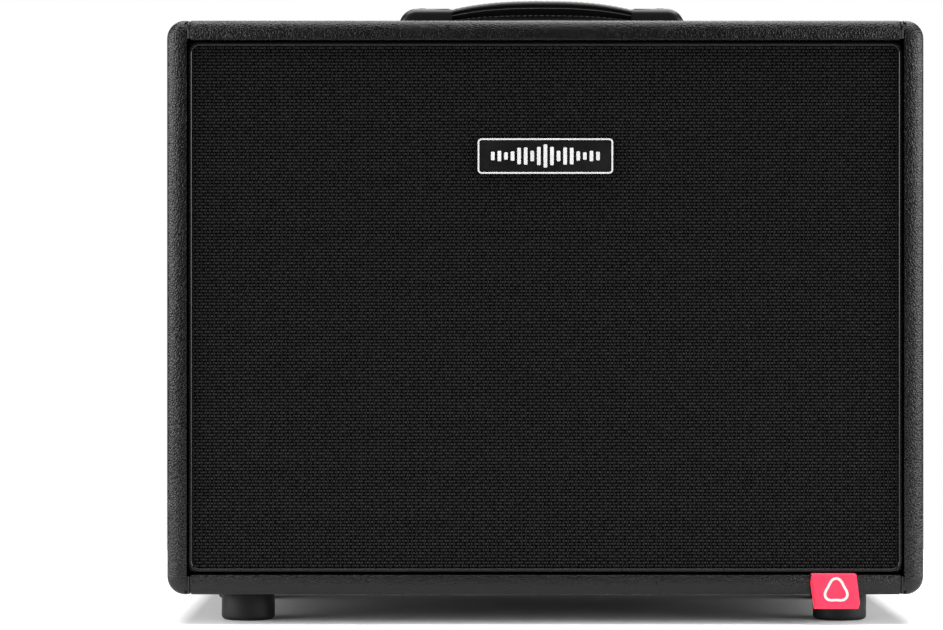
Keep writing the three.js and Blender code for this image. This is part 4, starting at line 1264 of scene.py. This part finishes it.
# %% Button and indicator
low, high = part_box("ground_lift_button")
button_x, button_z = middle_of("ground_lift_button")
button = rod("ground_lift_button_moulded", (high.x - low.x) / 2, (button_x, low.y, button_z),
             (button_x, high.y, button_z), 36)
bevel(button, lies("Y", high.y), 0.7 * MM, 4)
edit(button, "FACE", facing(0, 1, 0))
bpy.ops.mesh.inset(thickness=0.6 * MM, depth=-0.25 * MM)
settle(button, 35)
finish(button, "ground_lift_button", moulded, "moulded_plastic", "ground_lift_button")
light_place = Vector((bezel_x - 30 * MM, amp_high.y, bezel_z))
bezel_ring = rod("indicator_ring", 3.6 * MM, light_place, light_place + Vector((0, 1.2 * MM, 0)), 36)
bevel(bezel_ring, lies("Y", light_place.y + 1.2 * MM), 0.5 * MM, 3)
settle(bezel_ring, 35)
finish(bezel_ring, "cabinet", black_zinc, "painted_steel")
glow = rod("indicator_light", 2.4 * MM, light_place + Vector((0, 1.21 * MM, 0)),
           light_place + Vector((0, 3.4 * MM, 0)), 36)
bevel(glow, lies("Y", light_place.y + 3.4 * MM), 1.7 * MM, 6)
settle(glow, 60)
finish(glow, "cabinet", lens_green, "moulded_plastic")

# %% [markdown]
# ## Sockets
# The mains inlet has a cavity with three blades. The input takes a three-pin or a 6.35 mm plug, with a latch
# at its top. The link socket is a threaded bush with a hexagonal nut.

# %% Mains inlet
low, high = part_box("mains_inlet")
inlet_x, inlet_z = middle_of("mains_inlet")
inlet = faceplate("mains_inlet_moulded", low, high, 2.4 * MM, 2.4 * MM, 0.6 * MM)
inlet_body = block("inlet_body", around(inlet_x, 13.6 * MM), (low.y, high.y - MM), around(inlet_z, 10 * MM))
apply_boolean(inlet, inlet_body, "UNION")
CAVITY_HALF = 8.3 * MM
cavity = block("cavity", around(inlet_x, 12.2 * MM), (amp_low.y - 13 * MM, high.y + MM),
               around(inlet_z, CAVITY_HALF))
bevel(cavity, both(along("Y"), at(("Z", inlet_z + CAVITY_HALF))), 3.9 * MM, 1)
bevel(cavity, both(along("Y"), at(("Z", inlet_z - CAVITY_HALF))), 1 * MM, 3)
apply_boolean(inlet, cavity)
settle(inlet, 30)
finish(inlet, "cabinet", moulded, "moulded_plastic", "mains_inlet")
blades = []
for x, z in ((-7, -1), (7, -1), (0, 3.5)):
    blade = block("blade", around(inlet_x + x * MM, MM), (amp_low.y - 12.9 * MM, amp_low.y),
                  around(inlet_z + z * MM, 2 * MM))
    bevel(blade, lies("Y", amp_low.y), 0.6 * MM, 3)
    blades.append(blade)
blades = join("mains_blades", blades)
settle(blades, 35)
finish(blades, "cabinet", contact_metal, "plated_steel")

# %% Input socket
low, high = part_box("input_jack")
jack_x, jack_z = middle_of("input_jack")
jack_face = high.y
jack = faceplate("input_jack_moulded", low, high, 2 * MM, 2.2 * MM, 0.6 * MM)


def round_cut(radius, deep, shallow, sides, x=jack_x, z=jack_z):
    """A tool for a round hole between two depths."""
    return rod("round_cut", radius, (x, deep, z), (x, shallow, z), sides)


apply_boolean(jack, round_cut(12 * MM, low.y, jack_face - MM, 48), "UNION")
apply_boolean(jack, round_cut(9.6 * MM, amp_low.y - 10 * MM, jack_face + MM, 48))
apply_boolean(jack, round_cut(3.3 * MM, amp_low.y - 22 * MM, amp_low.y - 5 * MM, 28))
for angle in (90, 210, 330):
    x = jack_x + 6.4 * MM * math.cos(math.radians(angle))
    z = jack_z - 6.4 * MM * math.sin(math.radians(angle))
    apply_boolean(jack, round_cut(1.4 * MM, amp_low.y - 17 * MM, amp_low.y - 9 * MM, 20, x, z))
latch_slot = block("latch_slot", around(jack_x, 4.1 * MM), (jack_face - 4 * MM, jack_face + MM),
                   (jack_z + 12.4 * MM, jack_z + 14.9 * MM))
apply_boolean(jack, latch_slot)
settle(jack, 30)
finish(jack, "cabinet", moulded, "moulded_plastic", "input_jack")
low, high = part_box("input_jack_latch")
latch = block("input_latch_plated", (low.x, high.x), (low.y, high.y), (low.z, high.z))
bevel(latch, lies("Y", high.y), 0.4 * MM, 3)
settle(latch, 35)
finish(latch, "input_latch", zinc, "plated_steel", "input_jack_latch")

# %% Link socket
low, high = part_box("link_jack")
link_x, link_z = middle_of("link_jack")
link = block("link_jack_plated", (low.x, high.x), (low.y, amp_low.y - 0.3 * MM), (low.z, high.z))
bush = round_cut(4.9 * MM, amp_low.y - MM, high.y, 40, link_x, link_z)
apply_boolean(link, bush, "UNION")
nut = round_cut(7.4 * MM, amp_high.y + 0.3 * MM, amp_high.y + 2.7 * MM, 6, link_x, link_z)
bevel(nut, lies("Y", amp_high.y + 2.7 * MM), 0.5 * MM, 2)
apply_boolean(link, nut, "UNION")
apply_boolean(link, round_cut(3.3 * MM, amp_low.y - 19 * MM, high.y + MM, 32, link_x, link_z))
settle(link, 30)
finish(link, "cabinet", zinc, "plated_steel", "link_jack")
small_screw = pan_head("socket_screw", 2.6 * MM, 1.5 * MM)
places = [(jack_x + sign * 9.6 * MM, jack_face - 0.1 * MM, jack_z - sign * 12 * MM) for sign in (-1, 1)]
finish(placed(small_screw, "socket_screws", places, (0, 1, 0)), "cabinet", black_zinc, "painted_steel")
bpy.data.objects.remove(small_screw)

# %% [markdown]
# ## The mains board
# A green board beside the transformer carries two big smoothing capacitors. Each is an aluminium can in a
# black sleeve, with a rolled rim and a cross pressed into its top, so that it can burst safely.

# %% Board and capacitors
transformer_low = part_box("transformer")[0]
tray_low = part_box("amp_tray")[0]
board_y = (tray_low.y + 2.5 * MM, tray_low.y + 40.5 * MM)
board_x = (transformer_low.x - 68 * MM, transformer_low.x - 4 * MM)
board_z = tray_low.z + 4 * MM
mains_board = block("mains_board", board_x, board_y, (board_z - 1.6 * MM, board_z))
bevel(mains_board, along("Z"), 1.5 * MM, 4)
settle(mains_board, 35)
finish(mains_board, "cabinet", solder_mask, "circuit_board")
CAN_RADIUS, CAN_TALL = 9 * MM, 34 * MM
top_of_can = board_z + CAN_TALL
can = rod("can", CAN_RADIUS, (0, 0, board_z), (0, 0, top_of_can), 40)
bevel(can, lies("Z", top_of_can), 0.8 * MM, 3)
edit(can, "FACE", both(facing(0, 0, 1), at(("Z", top_of_can))))
bpy.ops.mesh.inset(thickness=1 * MM, depth=-0.5 * MM)
for turn in (0, math.pi / 2):
    groove = block("groove", around(0, 6 * MM), around(0, 0.3 * MM), around(top_of_can, MM))
    groove.data.transform(Matrix.Rotation(turn, 4, "Z"))
    apply_boolean(can, groove)
cans = [copy_of(can, "can", Matrix.Translation((x, sum(board_y) / 2, 0)))
        for x in (board_x[0] + 12 * MM, board_x[0] + 34 * MM)]
bpy.data.objects.remove(can)
cans = join("smoothing_capacitors", cans)
settle(cans, 35)
finish(cans, "cabinet", moulded, "circuit_board")

# %% [markdown]
# ## What keeps its CAD shape
# The baffle, the speaker and the parts of the power module have their true shape already, so they keep their
# CAD mesh and get a finish of their own. Most are seen only when the amplifier is taken apart.

# %% Finishes of the CAD nodes
KEPT = {
    sealed_ply: ("baffle_board", "baffle_cleats", "back_cleats", "grille_frame"),
    powder_coat: ("woofer_basket", "compression_driver", "amp_panel", "input_panel"),
    paper: ("woofer_cone", "woofer_dust_cap"),
    dipped_cotton: ("woofer_surround", "woofer_spider"),
    rubber: ("woofer_gasket",),
    zinc: ("woofer_top_plate", "woofer_back_plate", "amp_tray"),
    ferrite: ("woofer_magnet",),
    copper: ("woofer_voice_coil",),
    core_steel: ("transformer",),
    aluminium: ("heat_sink",),
    solder_mask: ("control_board",),
    moulded: ("horn",),
    red_sleeve: ("speaker_lead",),
}
for material, names in KEPT.items():
    for name in names:
        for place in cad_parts[name].material_slots:
            place.material = material
    print(material.name, "on", len(names))

# %% [markdown]
# ## The floor
# A pale floor just wide enough for the soft shadow. Beyond its edge the white backdrop takes over. A wider
# floor would shine up at the front and make every black face grey.

# %% Floor
alone()
bpy.ops.mesh.primitive_plane_add(size=1.2)
floor = bpy.context.object
floor.name = "studio_floor"
floor_white = speckled("studio_floor_white", (0.9, 0.9, 0.9), 0.8, 300, 0.02 * MM, contrast=0.02)
floor.data.materials.append(floor_white)
